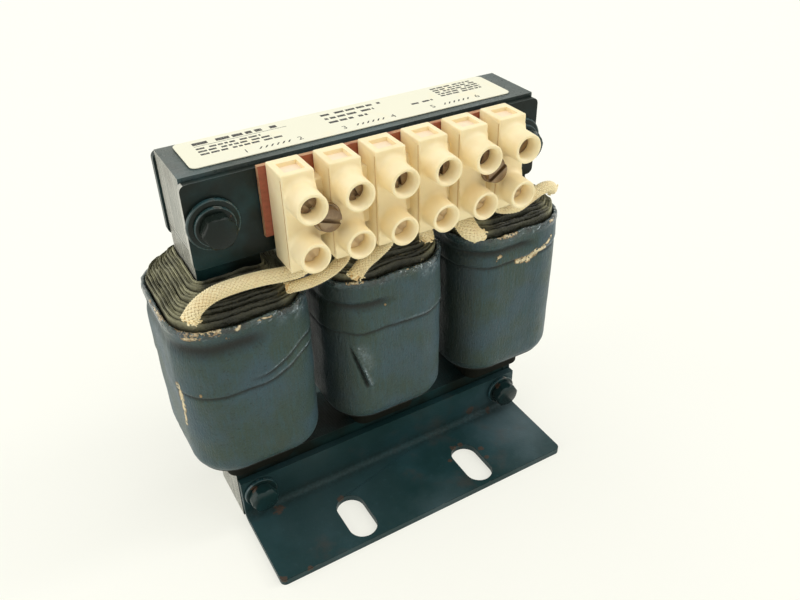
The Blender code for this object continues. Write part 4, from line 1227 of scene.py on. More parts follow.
def ring_mesh(points, ways, inset, height, centre_x):
    """A closed ring: one column for each point of the path, one row for each step of the section."""
    places = ring_points(points, ways, inset, height, centre_x)
    index = np.arange(inset.size).reshape(inset.shape)
    near = np.roll(index, -1, axis=0)
    faces = np.stack([index, near, np.roll(near, -1, axis=1), np.roll(index, -1, axis=1)], axis=2)
    mesh = bpy.data.meshes.new("ring")
    mesh.from_pydata(places.reshape(-1, 3).tolist(), [], faces.reshape(-1, 4).tolist())
    return worked(mesh)


def store(mesh, name, values):
    layer = mesh.attributes.new(name, "FLOAT", "POINT")
    layer.data.foreach_set("value", np.asarray(values, np.float32).ravel())


def smooth(low, high, value):
    """0 below low, 1 above high, soft between; works on arrays."""
    t = np.clip((value - low) / (high - low), 0, 1)
    return t * t * (3 - 2 * t)


def bell(distance, width):
    """1 in the middle and soft towards 0 at both sides; works on arrays."""
    return np.exp(-(distance / width) ** 2)


def field(points, size, seed, octaves=2):
    """Noise from about -1 to 1 at each point of an array."""
    flat = points.reshape(-1, 3)
    shift = Vector((seed * 7.31, seed * 3.17, seed * 1.73))
    values = [noise.fractal(Vector(p) / size + shift, 0.8, 2.0, octaves) for p in flat]
    return np.array(values).reshape(points.shape[:-1])


def to_segment(points, start, end):
    """Distance of each point from a line between two places, and the share along it."""
    start, way = np.array(start), np.array(end) - np.array(start)
    t = np.clip(((points - start) @ way) / (way @ way), 0, 1)
    return np.linalg.norm(points - (start + t[..., None] * way), axis=-1), t


# Where the tape's varnish is torn, in millimetres: start, end, half width, and as a share how far
# down to the pale glass
TORN = {
    "left": [
        ((-55.3, 3.0, 71.3), (-55.0, -5.4, 71.2), 0.5, 0.85),
        ((-55.0, -5.4, 71.0), (-51.6, -15.2, 71.0), 0.9, 0.74),
        ((-52.2, -15.2, 69.9), (-49.8, -17.0, 70.2), 0.8, 0.70),
        ((-50.6, -16.2, 71.3), (-45.0, -18.4, 71.2), 1.0, 0.76),
        ((-41.4, -18.8, 70.4), (-40.4, -18.8, 70.9), 0.5, 0.90),
        ((-44.0, -18.9, 68.8), (-43.2, -18.9, 68.4), 0.4, 0.80),
        ((-55.4, -10.4, 53.8), (-55.3, -10.4, 46.5), 1.05, 1.0),
        ((-55.3, -10.4, 46.5), (-55.1, -9.6, 41.0), 0.60, 1.0),
        ((-52.1, -16.3, 54.0), (-51.8, -16.4, 51.6), 0.55, 0.80),
        ((-36.2, -18.8, 71.0), (-33.0, -18.8, 70.9), 0.35, 0.80),
    ],
    "centre": [
        ((-4.6, -19.0, 64.6), (-3.9, -19.0, 63.0), 0.50, 0.72),
        ((-12.6, -16.4, 71.2), (-9.4, -18.2, 71.4), 0.5, 0.80),
        ((2.5, -18.8, 71.4), (6.0, -18.8, 71.4), 0.3, 0.90),
    ],
    "right": [
        ((30.4, -18.4, 71.4), (35.6, -18.8, 71.2), 0.8, 0.78),
        ((30.0, -18.8, 65.0), (31.6, -18.9, 65.9), 0.60, 0.74),
        ((37.0, -19.1, 62.0), (39.6, -19.1, 62.2), 0.95, 1.0),
        ((40.4, -19.1, 61.6), (42.6, -19.1, 63.6), 0.95, 1.0),
        ((42.9, -19.1, 62.9), (45.8, -18.8, 64.0), 0.90, 1.0),
        ((45.8, -18.8, 64.0), (48.6, -18.1, 66.2), 0.50, 0.95),
        ((47.4, -18.6, 71.2), (49.4, -17.9, 71.0), 0.5, 0.90),
    ],
}

# Height of the band edges on each coil, and how far each climbs towards the coil's right side
BAND_EDGES = {
    "left": [(0.0526, 0.0042), (0.0552, 0.0052)],
    "centre": [(0.0562, 0.0)],
    "right": [(0.0628, 0.0010)],
}
# Soft grooves under the rim, with painted shade in them: height, spread, and the stretch in X from the
# coil's middle
GROOVES = {
    "left": (0.0662, 0.0019, -0.019, -0.001),
    "centre": (0.0642, 0.0011, -0.019, -0.006),
    "right": (0.0668, 0.0010, -0.019, 0.0),
}
GROOVE_DEPTH = 0.00085
# Top and bottom of the fold down the front of the centre coil, in millimetres
CREASE = ((-13.1, -18.5, 52.8), (-9.1, -18.5, 38.0))
CREASE_REACH = 0.0050
CREASE_DEPTH = 0.0013


def wrap_section(top, bottom):
    """The tape's section from its tucked lip up the wall and down inside: inset, height, lumpiness."""
    wall = np.linspace(bottom + WRAP_BEND, top - WRAP_THICKNESS / 2, WRAP_ROWS)
    bends = np.linspace(0, pi / 2, 10)[1:-1]
    rim = np.linspace(0, pi, 8)
    half = WRAP_THICKNESS / 2
    inner = WRAP_BEND - WRAP_THICKNESS
    rows = [(WRAP_LIP, bottom, 0), (WRAP_BEND, bottom, 0.3)]
    rows += [(WRAP_BEND * (1 - sin(a)), bottom + WRAP_BEND * (1 - cos(a)), 1) for a in bends]
    rows += [(0.0, z, 1) for z in wall]
    rows += [(half - half * cos(a), top - half + half * sin(a), 1 - 0.6 * a / pi) for a in rim[1:]]
    rows += [(WRAP_THICKNESS, z, 0) for z in np.linspace(top - 0.004, bottom + WRAP_BEND, 6)]
    rows += [(WRAP_BEND - inner * sin(a), bottom + WRAP_BEND - inner * cos(a), 0) for a in reversed(bends)]
    rows += [(WRAP_LIP, bottom + WRAP_THICKNESS, 0)]
    return np.array(rows).T


class TapeWall:
    """One coil's tape while it is shaped: how far each point stands out, and where it gets painted shade
    and painted highlights.
    """

    def __init__(self, side, seed, points, ways, place, top):
        self.side = side
        self.seed = seed
        self.place = place
        self.height = place[..., 2]
        self.below_rim = (top - self.height) * 1000
        self.local_x = points[:, None, 0]
        self.to_right = ways[:, None, 0]
        self.to_rear = ways[:, None, 1]
        self.out = np.zeros(self.height.shape)
        self.shade = np.zeros(self.height.shape)
        self.rub = np.zeros(self.height.shape)

    def noise(self, size, seed, octaves=2, factors=(1, 1, 1)):
        """Noise over the whole wall."""
        return field(self.place * factors, size, self.seed + seed, octaves)

    def wander(self, size, seed):
        """Noise that changes only on the way round."""
        return field(self.place[:, :1] * (1, 1, 0), size, self.seed + seed)

    def darken(self, mask):
        self.shade = np.maximum(self.shade, mask)

    def rub_off(self, mask):
        self.rub = np.maximum(self.rub, mask)

    def swell(self, low, high):
        """The bulge of the wall, with soft lumps and small wrinkles."""
        share_up = np.clip((self.height - low.z) / (high.z - low.z), 0, 1)
        self.out += 0.00028 * np.sin(pi * share_up) ** 0.8
        self.out += sizes().tape_lumps * self.noise(0.011, 0)
        self.out += sizes().tape_wrinkles * self.noise(0.0022, 5, factors=(1, 1, 0.35))

    def end_bands(self):
        """A step where each band of tape ends, with painted shade in the notch and a painted highlight on
        its right stretch.
        """
        for number, (edge, climb) in enumerate(BAND_EDGES[self.side]):
            line = edge + climb * smooth(0, 0.014, self.local_x) + 0.0005 * self.wander(0.007, 9)
            above = self.height - line
            strength = smooth(-0.004, 0.004, self.local_x) if number else 1.0
            ledge = smooth(-0.0002, 0.0003, above) * np.exp(-np.clip(above, 0, 1) / 0.006)
            notch = bell(above + 0.0004, 0.00048) * strength
            self.out += sizes().tape_step * (strength * ledge - notch)
            self.darken(notch)
            lit = smooth(-0.004, 0.012, self.local_x) * (self.to_rear < 0.3)
            self.rub_off(0.85 * lit * strength * bell(above - 0.0003, 0.00045))

    def groove(self):
        """The swollen rim and the soft groove under it, with painted shade in the groove."""
        self.out += 0.00020 * bell(self.below_rim - 1.2, 1.1)
        level, spread, from_x, to_x = GROOVES[self.side]
        inside = smooth(from_x, from_x + 0.004, self.local_x) * smooth(to_x + 0.006, to_x, self.local_x)
        mask = bell(self.height - level, spread) * inside * (self.to_rear < 0.5)
        self.out -= GROOVE_DEPTH * mask
        self.darken(1.1 * mask)

    def wet_rim(self):
        """Small lumps along the rim, with a painted highlight on those near its right front corner."""
        if self.side != "right":
            corner = smooth(0.005, 0.012, self.local_x) * (self.to_rear < 0.3)
            shine_lumps = corner * bell(self.below_rim - 2.2, 1.6) * smooth(-0.25, 0.25, self.noise(0.0026, 6))
            self.rub_off(0.95 * shine_lumps)
            self.out += 0.00016 * shine_lumps * self.noise(0.0016, 7)
        self.out += 0.00016 * smooth(3.2, 0.4, self.below_rim) * self.noise(0.0013, 3, 3)

    def fold(self):
        """The long fold down the front, with painted shade in its groove, a painted highlight on its ridge
        and a painted glow to its right.
        """
        start, end = (np.array(corner) / 1000 for corner in CREASE)
        distance, along = to_segment(self.place, start, end)
        across = self.place[..., 0] - (start[0] + along * (end[0] - start[0]))
        around = np.exp(-(distance / CREASE_REACH) ** 4)
        taper = smooth(-0.05, 0.35, along) * smooth(1.02, 0.90, along) * around
        ridge = bell(across - 0.0012, 0.0010)
        crease = bell(across + 0.0001, 0.00022 + 0.00022 * along)
        self.out += taper * (0.00038 * ridge - CREASE_DEPTH * crease)
        self.darken(smooth(0.0, 0.3, taper) * crease * 1.2)
        self.rub_off(0.85 * taper * smooth(0.1, 0.8, along) * bell(across - 0.0009, 0.0004))
        glow = bell(across - 0.0024, 0.0016) * smooth(0.75, 0.25, along) * smooth(-0.02, 0.15, along)
        self.rub_off(0.45 * glow * around)

    def shade_inner_side(self):
        """Painted shade on the side that faces the next coil on the left, below the rim."""
        self.darken(0.85 * smooth(0.30, 0.95, -self.to_right) * smooth(0.2, 2.5, self.below_rim))


def torn_places(side, places):
    """How torn the varnish is at each point, from 0 to 1."""
    wear = np.zeros(places.shape[:-1])
    for start, end, radius, most in TORN[side]:
        distance, _ = to_segment(places, np.array(start) / 1000, np.array(end) / 1000)
        wear = np.maximum(wear, most * smooth(radius * 2.0, radius * 0.2, distance * 1000))
    return wear


def wrap_mesh(side, seed):
    """One coil's tape: bulged, lumpy, stepped at each band edge, with a wandering rim."""
    low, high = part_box("coil_wrap_" + side)
    centre = (low + high) / 2
    half_x, half_y = (high.x - low.x) / 2 - WRAP_BULGE, (high.y - low.y) / 2 - WRAP_BULGE
    points, ways = round_path(half_x, half_y, WRAP_CORNER, WRAP_COLUMNS[side])
    inset, height, lump = wrap_section(high.z, low.z)
    inset = np.tile(inset, (len(points), 1))
    height = np.tile(height, (len(points), 1))
    place = ring_points(points, ways, 0 * inset, height, centre.x)
    wall = TapeWall(side, seed, points, ways, place, high.z)
    wall.swell(low, high)
    wall.end_bands()
    wall.groove()
    wall.wet_rim()
    if side == "centre":
        wall.fold()
    if side != "left":
        wall.shade_inner_side()
    inset = inset - np.minimum(wall.out * lump, WRAP_BULGE - 0.00002)
    outside = lump > 0
    wave = wall.wander(0.006, 12) + 0.5 * wall.wander(0.0017, 14)
    height = height + sizes().rim_wave * (wave - 0.5) * smooth(5.0, 0.0, wall.below_rim) * outside
    mesh = ring_mesh(points, ways, inset, height, centre.x)
    store(mesh, "wear", torn_places(side, ring_points(points, ways, inset, height, centre.x)))
    store(mesh, "shade", wall.shade * outside)
    store(mesh, "rub", wall.rub * outside)
    store(mesh, "rim", smooth(2.4, 0.5, wall.below_rim) * outside)
    return mesh


def layer_section(base, top, groove):
    """A layer's section: share of its thickness, height, how freely it waves, and how pale it is."""
    return np.array([
        (0.0, base, 0, 0), (0.0, top - 0.0030, 0, 0), (0.0, top - 0.0014, 0.5, 0.35),
        (0.0, top - 0.0005, 0.8, 0.8), (0.07, top - 0.00015, 1, 1), (0.26, top, 1, 1),
        (0.40, top - 0.00010, 1, 0.9), (0.46, top - 0.00042, 1, 0.3), (0.52, top - 0.00014, 1, 0.9),
        (0.70, top - 0.00005, 1, 1), (0.82, top - 0.0003, 0.9, 0.7), (0.88, top - groove, 0.3, 0),
        (0.96, top - groove, 0.2, 0), (0.98, top - groove - 0.0012, 0, 0), (0.98, base, 0, 0),
    ]).T


def layer_rings(side, seed):
    """Layers of wire and paper inside the tape: each is a ring with a soft, wandering crest."""
    low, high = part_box("winding_" + side)
    centre = (low + high) / 2
    half_x, half_y = (high.x - low.x) / 2, (high.y - low.y) / 2
    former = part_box("coil_former_" + side)[1]
    thickness = (half_x - (former.x - centre.x) - FIT_GAP) / LAYER_COUNT
    corner = WRAP_CORNER - WRAP_THICKNESS - FIT_GAP
    outer_top = high.z - (LAYER_COUNT - 1) * LAYER_STEP - 0.0002
    meshes, crests, side_palenesses = [], [], []
    for layer in range(LAYER_COUNT + CUFF_COUNT):
        depth = layer * thickness
        base = low.z if layer < LAYER_COUNT else former.z - FORMER_TUCK + 0.0001
        top = outer_top + layer * LAYER_RISE + 0.00036 * sin(2.3 * layer + seed)
        parts, heights, free, crest = layer_section(base, top, sizes().layer_groove)
        bend = max(corner - depth, 0.0012)
        points, ways = round_path(half_x - depth, half_y - depth, bend, 230 - 9 * layer)
        place = path_points(points, ways, centre.x)
        wave = 0.6 * field(place, 0.0110, seed) + 0.5 * field(place, 0.0060, seed + layer)
        wave += 0.20 * field(place, 0.0016, seed + layer + 20)
        lean = 0.34 * thickness * field(place, 0.004, seed + layer + 40) * free
        height = heights + sizes().layer_wave * wave * free
        meshes.append(ring_mesh(points, ways, parts * thickness + lean, height, centre.x))
        pale = min(0.84 + 0.28 * sin(4.1 * layer + seed), 1.0)
        crests.append(np.tile(pale * crest, len(points)))
        side_palenesses.append(np.repeat(smooth(0.1, 0.7, np.abs(ways[:, 0])), len(crest)))
    mesh = joined(*meshes)
    store(mesh, "crest", np.concatenate(crests))
    store(mesh, "side_paleness", np.concatenate(side_palenesses))
    return mesh


def former_mesh(side):
    """The board tube round the leg. Its top edge is ragged and stays under the innermost layer."""
    low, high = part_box("coil_former_" + side)
    centre, half = (low + high) / 2, (high - low) / 2
    points, ways = round_path(half.x, half.y, FORMER_CORNER, 160)
    top = high.z - FORMER_TUCK
    edge = 0.0002
    inset, height = np.array([
        (0, low.z + edge), (0, top - edge), (edge, top), (FORMER_WALL - edge, top),
        (FORMER_WALL, top - edge), (FORMER_WALL, low.z + edge), (FORMER_WALL - edge, low.z), (edge, low.z),
    ]).T
    ragged = 0.0002 * field(path_points(points, ways, 0.0), 0.0020, 5, 3) * (height > top - 0.0003)
    return ring_mesh(points, ways, np.tile(inset, (len(points), 1)), height + ragged, centre.x)


def coils():
    """Tape, winding layers and former of each coil."""
    tape = finish("tape", paint_tape)
    layers = finish("layers", paint_layers)
    board = finish("board", paint_board)
    for number, side in enumerate(SIDES):
        mesh = wrap_mesh(side, 11 + 17 * number)
        add_piece("tape_" + side, mesh, tape, ["coil_wrap_" + side], sharp=80)
        mesh = layer_rings(side, 50 + 13 * number)
        add_piece("layers_" + side, mesh, layers, ["winding_" + side], sharp=80)
        add_piece("former_" + side, former_mesh(side), board, ["coil_former_" + side])


def tube(length_out):
    """A screw tube from y = 0 towards -Y, blended into its tower above and below."""
    blend, lip = 0.0013, 0.00030
    profile = [(0, 0.0012), (TUBE_RADIUS + blend, 0.0012), (TUBE_RADIUS + blend, 0.00002)]
    for k in range(1, 9):
        turn = pi / 2 * k / 8
        profile.append((TUBE_RADIUS + blend * (1 - sin(turn)), -blend * (1 - cos(turn))))
    for k in range(6):
        turn = pi / 2 * k / 5
        profile.append((TUBE_RADIUS - 0.00015 - lip * (1 - cos(turn)), -length_out + lip * (1 - sin(turn))))
    profile.append((0, -length_out))
    room = block((POLE_WIDTH - 0.00006, 0.03, 0.03))
    return boolean(turned(profile, 56), "INTERSECT", room)


def bore(length_out, depth):
    """What the screw's bore takes away: a soft mouth with a step, then a tapering hole."""
    mouth = BORE_RADIUS + 0.00018
    front = -length_out
    profile = [
        (0, front - 0.002), (mouth + 0.0008, front - 0.002), (mouth + 0.00025, front - 0.0001),
        (mouth + 0.00006, front + 0.00008), (mouth, front + 0.0003), (mouth - 0.0002, front + 0.00036),
        (BORE_RADIUS - 0.00036, front + 0.0036), (BORE_RADIUS - 0.00038, depth), (0, depth),
    ]
    return turned(profile, 44)


def widen_top(shape):
    """Opens the upper end of a block into a shallow funnel."""
    top = max(vert.co.z for vert in shape.verts)
    centre = sum((vert.co for vert in shape.verts), Vector()) / len(shape.verts)
    for vert in shape.verts:
        if vert.co.z > top - 1e-6:
            vert.co.x = centre.x + (vert.co.x - centre.x) * MOUTH_SPREAD
            vert.co.y = centre.y + (vert.co.y - centre.y) * MOUTH_SPREAD


def pole_parts(low, high, tower_front, middle_y):
    """A pole about x = 0 and z = 0: its tower, its two screw tubes, and all that is hollow in it."""
    depth = high.y - tower_front
    height = high.z - low.z
    tower = softened(block((POLE_WIDTH, depth, height), (0, high.y - depth / 2, 0)), POLE_EDGE, 3)
    tubes, hollows = [], []
    for length_out, side in ((UPPER_TUBE_LENGTH, 1), (LOWER_TUBE_LENGTH, -1)):
        place = (0, tower_front, side * TUBE_SPACING / 2)
        tubes.append(moved(tube(length_out), place))
        hollows.append(moved(bore(length_out, middle_y - tower_front), place))
    pocket = block((POCKET_WIDTH, POCKET_WIDTH, height), (0, middle_y, -MOUTH_LAND))
    mouth = block((MOUTH_WIDTH, MOUTH_WIDTH, 3 * MOUTH_LAND), (0, middle_y, height / 2))
    seam_place = (-POLE_WIDTH / 2, high.y - depth + SEAM_PLACE, 0)
    seam = block((2 * SEAM_DEPTH, SEAM_WIDTH, 0.90 * height), seam_place)
    hollow = boolean(pocket, "UNION", worked(mouth, widen_top), *hollows, seam)
    return tower, *tubes, hollow


def terminal_strip():
    """One moulding: six towers with two screw tubes each, on a web, hollow for their inserts."""
    low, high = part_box("terminal_strip")
    first, last = centre_of(INSERTS[0]), centre_of(INSERTS[-1])
    middle_z = (low.z + high.z) / 2
    tower_front = low.y + UPPER_TUBE_LENGTH
    pitch = (last.x - first.x) / (POLE_COUNT - 1)
    tower, upper, lower, hollow = pole_parts(low, high, tower_front, first.y)
    web_size = (last.x - first.x + POLE_WIDTH / 3, WEB_DEPTH, WEB_HEIGHT)
    web_place = ((first.x + last.x) / 2, high.y - WEB_DEPTH / 2, middle_z)
    web = softened(block(web_size, web_place), 0.0003, 2)
    profile = [(0, -0.02), (STRIP_SCREW_HOLE, -0.02), (STRIP_SCREW_HOLE, 0.02), (0, 0.02)]
    holes = [
        moved(turned(profile, 24), (centre_of(name).x, high.y, middle_z)) for name in pair("strip_screw")
    ]
    tree = Shape(
        "pole_row",
        Poles=POLE_COUNT,
        Pitch=pitch,
        Start=(first.x, 0.0, middle_z),
        Tower=held(tower, "tower"),
        Upper=held(upper, "upper"),
        Lower=held(lower, "lower"),
        Hollow=held(hollow, "hollow"),
        Holes=held(joined(*holes), "holes"),
    )
    line = tree.line(tree["Poles"], tree["Start"], tree.combined(X=tree["Pitch"]))
    solids = [tree.on_points(line, tree.of(tree[part])) for part in ("Tower", "Upper", "Lower")]
    cutters = [tree.on_points(line, tree.of(tree["Hollow"])), tree.of(tree["Holes"])]
    inputs = {"Mesh 2": [tree["Geometry"], *solids], "Self Intersection": True}
    union = {"operation": "UNION", "solver": "EXACT"}
    solid = tree.node("GeometryNodeMeshBoolean", union, inputs)
    inputs = {"Mesh 1": solid, "Mesh 2": cutters, "Self Intersection": True}
    cut = {"operation": "DIFFERENCE", "solver": "EXACT"}
    solid = tree.node("GeometryNodeMeshBoolean", cut, inputs)
    material = finish("moulding", paint_moulding)
    mesh = worked(tree.grow(solid, web, material), merge)
    seam_y = tower_front + SEAM_PLACE

    def in_seam(face):
        to_side = (face.center.x - first.x + POLE_WIDTH / 2 + pitch / 2) % pitch - pitch / 2
        across = abs(face.center.y - seam_y)
        return abs(to_side) < SEAM_DEPTH + 0.00005 and across < SEAM_WIDTH / 2 + 0.00001

    # Painted shade in the hairline seams beside each tower's front corner.
    sort_faces(mesh, in_seam)
    finishes = [material, finish("seam_shade", paint_liner)]
    add_piece("strip_moulding", mesh, finishes, ["terminal_strip"], sharp=32)


def slotted_head(radius, height, shank, length_in, slot_width, slot_depth, flange=0.0):
    """A screw along Y, its head's outer face at y = 0 with a soft edge and a slot."""
    edge = 0.25 * height if flange else 0.00025
    base = height + 0.0007 if flange else height
    profile = [(0, 0), (radius - edge, 0), (radius - 0.3 * edge, 0.3 * edge)]
    profile += [(radius, edge), (radius, height)]
    if flange:
        profile += [(flange - 0.0001, height), (flange, height + 0.0002), (flange, base)]
    profile += [(shank, base), (shank, base + length_in), (0, base + length_in)]
    cutter = block((4 * radius, 2 * slot_depth, slot_width))
    return boolean(turned(profile, 36), "DIFFERENCE", cutter)


def clamp_screws(row, first_turn, step, metal, slot_depth):
    """The six screws of a row in their tubes, each turned its own way."""
    names = ["clamp_screw_%s_%d" % (row, number + 1) for number in range(POLE_COUNT)]
    low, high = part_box(names[0])
    shank = high.y - low.y - 0.0026
    pattern = slotted_head((high.x - low.x) / 2, 0.0026, 0.0012, shank, 0.0009, slot_depth)
    turns = [radians(first_turn + step * number) for number in range(POLE_COUNT)]
    mesh = copies("clamp_screws_" + row, pattern, places_of(names, low.y), metal, turns)
    add_piece("clamp_screws_" + row, mesh, metal, names)


def strip_hardware():
    """Clamp screws in their tubes, the two screws that hold the strip, inserts and fibre sheet."""
    dark = finish("upper_clamp_screws", paint_metal, "screw", rough=0.42, tarnish=0.70)
    pale = finish("lower_clamp_screws", paint_metal, "pale_screw", rough=0.55, tarnish=0.08, metal=0.0)
    clamp_screws("upper", 52, 13, dark, 0.0011)
    clamp_screws("lower", 61, -9, pale, 0.0005)
    zinc = finish("strip_screws", paint_metal, "screw", rough=0.32, tarnish=0.45)
    names = pair("strip_screw")
    low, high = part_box(names[0])
    shank = high.y - low.y - 0.0025
    pattern = slotted_head(0.0028, 0.0018, 0.0014, shank, 0.0010, 0.0010, (high.x - low.x) / 2)
    turns = [radians(20), radians(-35)]
    mesh = copies("strip_screws", pattern, places_of(names, low.y), zinc, turns)
    add_piece("strip_screws", mesh, zinc, names)
    # The inserts take the pale painted-light colour.
    brass = finish("insert_metal", paint_metal, "brass", rough=0.60, tarnish=0.12, metal=0.15)
    for name in INSERTS:
        dress_node(name, brass)
    leaf_width = MOUTH_WIDTH + 0.0004
    leaf = softened(block((leaf_width, leaf_width, LEAF_THICKNESS)), 0.00004, 1)
    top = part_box("terminal_strip")[1].z - LEAF_DEPTH - LEAF_THICKNESS
    places = [(centre_of(name).x, centre_of(name).y, top) for name in INSERTS]
    skin = finish("entry_skin", paint_metal, "leaf", rough=0.50, tarnish=0.05, metal=0.0)
    add_piece("entry_leaves", copies("entry_leaves", leaf, places, skin), skin)
    centre, half = middle_and_half("fibre_sheet")
    holes = round_holes(names, STRIP_SCREW_HOLE, centre.x, centre.z)
    outline = bar(-half.x, half.x, -half.z, half.z)
    board = softened(sheet([outline, *holes], 2 * half.y), 0.00012, 2, CUT_EDGE_ANGLE)
    mesh = moved(upright(board), centre)
    sort_faces(mesh, lambda face: abs(face.normal.y) < 0.5)
    finishes = [finish("fibre", paint_fibre), finish("fibre_edge", paint_fibre, pale=0.32)]
    add_piece("fibre_board", mesh, finishes, ["fibre_sheet"], sharp=0)


# Each lead: its sleeve's width, how flat that is pressed in X, Y and Z, how far its cut end spreads,
# and its route to below its pole. X is from the coil's middle, Y from the front and Z from the top
# of its winding.
LEADS = {
    "lead_left_start": (0.0040, (1.0, 1.0, 0.86), 0.9, [
        (-0.0132, 0.0005, -0.0050), (-0.0108, 0.0008, -0.0020), (-0.0067, 0.0014, -0.0003),
        (-0.0014, 0.0015, 0.0002), (0.0049, 0.0014, 0.0000), (0.0103, 0.0012, -0.0006)]),
    "lead_left_end": (0.0033, (1.0, 1.0, 0.84), 0.8, [
        (0.0096, 0.0013, -0.0042), (0.0116, 0.0006, -0.0041), (0.0148, -0.0005, -0.0036),
        (0.0189, -0.0008, -0.0027), (0.0225, -0.0003, -0.0016)]),
    "lead_centre_start": (0.0038, (1.15, 1.0, 0.72), 0.9, [
        (-0.0126, -0.0020, -0.0058), (-0.0110, -0.0014, -0.0046), (-0.0086, -0.0006, -0.0032),
        (-0.0054, 0.0000, -0.0020)]),
    "lead_centre_end": (0.0038, (1.0, 1.0, 0.9), 0.3, [
        (0.0096, 0.0008, -0.0034), (0.0092, 0.0006, -0.0012)]),
    "lead_right_start": (0.0040, (1.6, 0.8, 0.75), 0.7, [
        (-0.0133, -0.0010, -0.0058), (-0.0153, -0.0016, -0.0048), (-0.0171, -0.0012, -0.0030)]),
    "lead_right_end": (0.0036, (1.0, 1.0, 0.84), 0.6, [
        (0.0137, 0.0050, -0.0030), (0.0122, 0.0037, -0.0010), (0.0094, 0.0027, 0.0000),
        (0.0060, 0.0021, -0.0003), (0.0021, 0.0014, -0.0012), (-0.0021, 0.0003, -0.0014)]),
}
SLEEVE_RISE = 0.0018
CONDUCTOR_RADIUS = 0.0008
CONDUCTOR_REACH = 0.0062
BRAID_ANGLE = radians(48)
FRAY_LENGTH = 0.0024


def smooth_route(points, steps):
    """Closer points on a smooth curve through the given ones."""
    ends = [2 * points[0] - points[1], *points, 2 * points[-1] - points[-2]]
    route = []
    for a, b, c, d in zip(ends, ends[1:], ends[2:], ends[3:]):
        for k in range(steps):
            t = k / steps
            route.append(
                0.5 * (2 * b + (c - a) * t + (2 * a - 5 * b + 4 * c - d) * t * t)
                + 0.5 * (3 * b - a - 3 * c + d) * t ** 3
            )
    route.append(points[-1])
    return route


def lead_route(name, pole):
    """The whole route, with its last two points in the pole's own line."""
    low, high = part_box("winding_" + name.split("_")[1])
    corner = Vector(((low.x + high.x) / 2, low.y, high.z))
    insert = centre_of(INSERTS[pole - 1])
    strip_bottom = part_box("terminal_strip")[0].z
    insert_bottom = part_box(INSERTS[pole - 1])[0].z
    points = [corner + Vector(point) for point in LEADS[name][-1]]
    points.append(Vector((insert.x, insert.y, strip_bottom - SLEEVE_RISE)))
    points.append(Vector((insert.x, insert.y, insert_bottom - FIT_GAP)))
    return smooth_route(points, 10)


def route_curve(points, width):
    curve = bpy.data.curves.new("route", "CURVE")
    curve.dimensions = "3D"
    spline = curve.splines.new("POLY")
    spline.points.add(len(points) - 1)
    for point, place in zip(spline.points, points):
        point.co = (*place, 1.0)
        point.radius = width / 2
    return curve


def braided(name, pole):
    """A sleeve of yarns that cross over and under, from its frayed end at the coil up to its pole."""
    width, flat, spread, _ = LEADS[name]
    points = lead_route(name, pole)
    run = sum((b - a).length for a, b in zip(points, points[1:]))
    yarns = sizes().yarns
    turns = run / (pi * width) * tan(BRAID_ANGLE)
    tree = Shape(
        "braid_" + name,
        Yarns=yarns,
        Turns=turns,
        Lift=sizes().yarn_lift,
        Thickness=sizes().yarn_thickness,
        Flat=flat,
        Spread=spread * sizes().fray,
        Steps=int(turns * yarns * 6) + 8,
        Fray=FRAY_LENGTH / run,
        Seed=pole,
    )
    line = tree.line(tree["Yarns"] * 2, (0, 0, 0), (0, 0, 0))
    line = tree.stored(line, "yarn", tree.node("GeometryNodeInputIndex"))
    rod = tree.node("GeometryNodeMeshCylinder", {"fill_type": "NGON"},
                    {"Vertices": 6, "Side Segments": tree["Steps"], "Radius": 1.0, "Depth": 1.0})
    mesh = tree.on_points(line, rod)
    yarn = tree.kept("yarn")
    across, rise, along = tree.parts(tree.node("GeometryNodeInputPosition"))
    chance = tree.chance(yarn, tree["Seed"])
    other = tree.chance(yarn, tree["Seed"] + 40)
    t = along + 0.5
    loose = tree.math("SUBTRACT", 1.0, t / tree["Fray"], clamp=True)
    loose = loose * loose
    t = t + loose * chance * tree["Fray"] * 0.8
    way = 1.0 - (yarn % 2.0) * 2.0
    home = tree.math("FLOOR", yarn / 2.0) * (2 * pi) / tree["Yarns"]
    phase = t * tree["Turns"] * (2 * pi)
    weave = tree.math("COSINE", phase * tree["Yarns"]) * way
    turn = home + phase * way + across * (0.80 * pi) / tree["Yarns"] * (1.0 - loose * 0.45)
    turn = turn + loose * (other - 0.5) * 0.9
    inputs = {"Curves": tree["Geometry"], "Value": tree.node("GeometryNodeInputRadius"), "Factor": t}
    settings = {"mode": "FACTOR", "data_type": "FLOAT"}
    sample = tree.node("GeometryNodeSampleCurve", settings, inputs)
    wires = {output.name: Wire(tree, output) for output in sample.socket.node.outputs if output.enabled}
    half = wires["Value"] - tree["Lift"] - tree["Thickness"]
    half = half * (1.0 + loose * tree["Spread"] * (0.2 + chance))
    reach = half + rise * tree["Thickness"] + weave * tree["Lift"]
    side = tree.vector("CROSS_PRODUCT", wires["Tangent"], wires["Normal"])
    out = tree.scaled(wires["Normal"], reach * tree.math("COSINE", turn))
    sideways = tree.scaled(side, reach * tree.math("SINE", turn))
    offset = tree.vector("MULTIPLY", tree.vector("ADD", out, sideways), tree["Flat"])
    mesh = tree.shifted(mesh, Position=tree.vector("ADD", wires["Position"], offset))
    mesh = tree.stored(mesh, "end", loose)
    material = finish("sleeve", paint_sleeve)
    result = tree.grow(mesh, route_curve(points, width), material)
    add_piece(name + "_braid", result, material, [name], sharp=80)
    add_liner(name, points, width * 0.80 * min(flat))


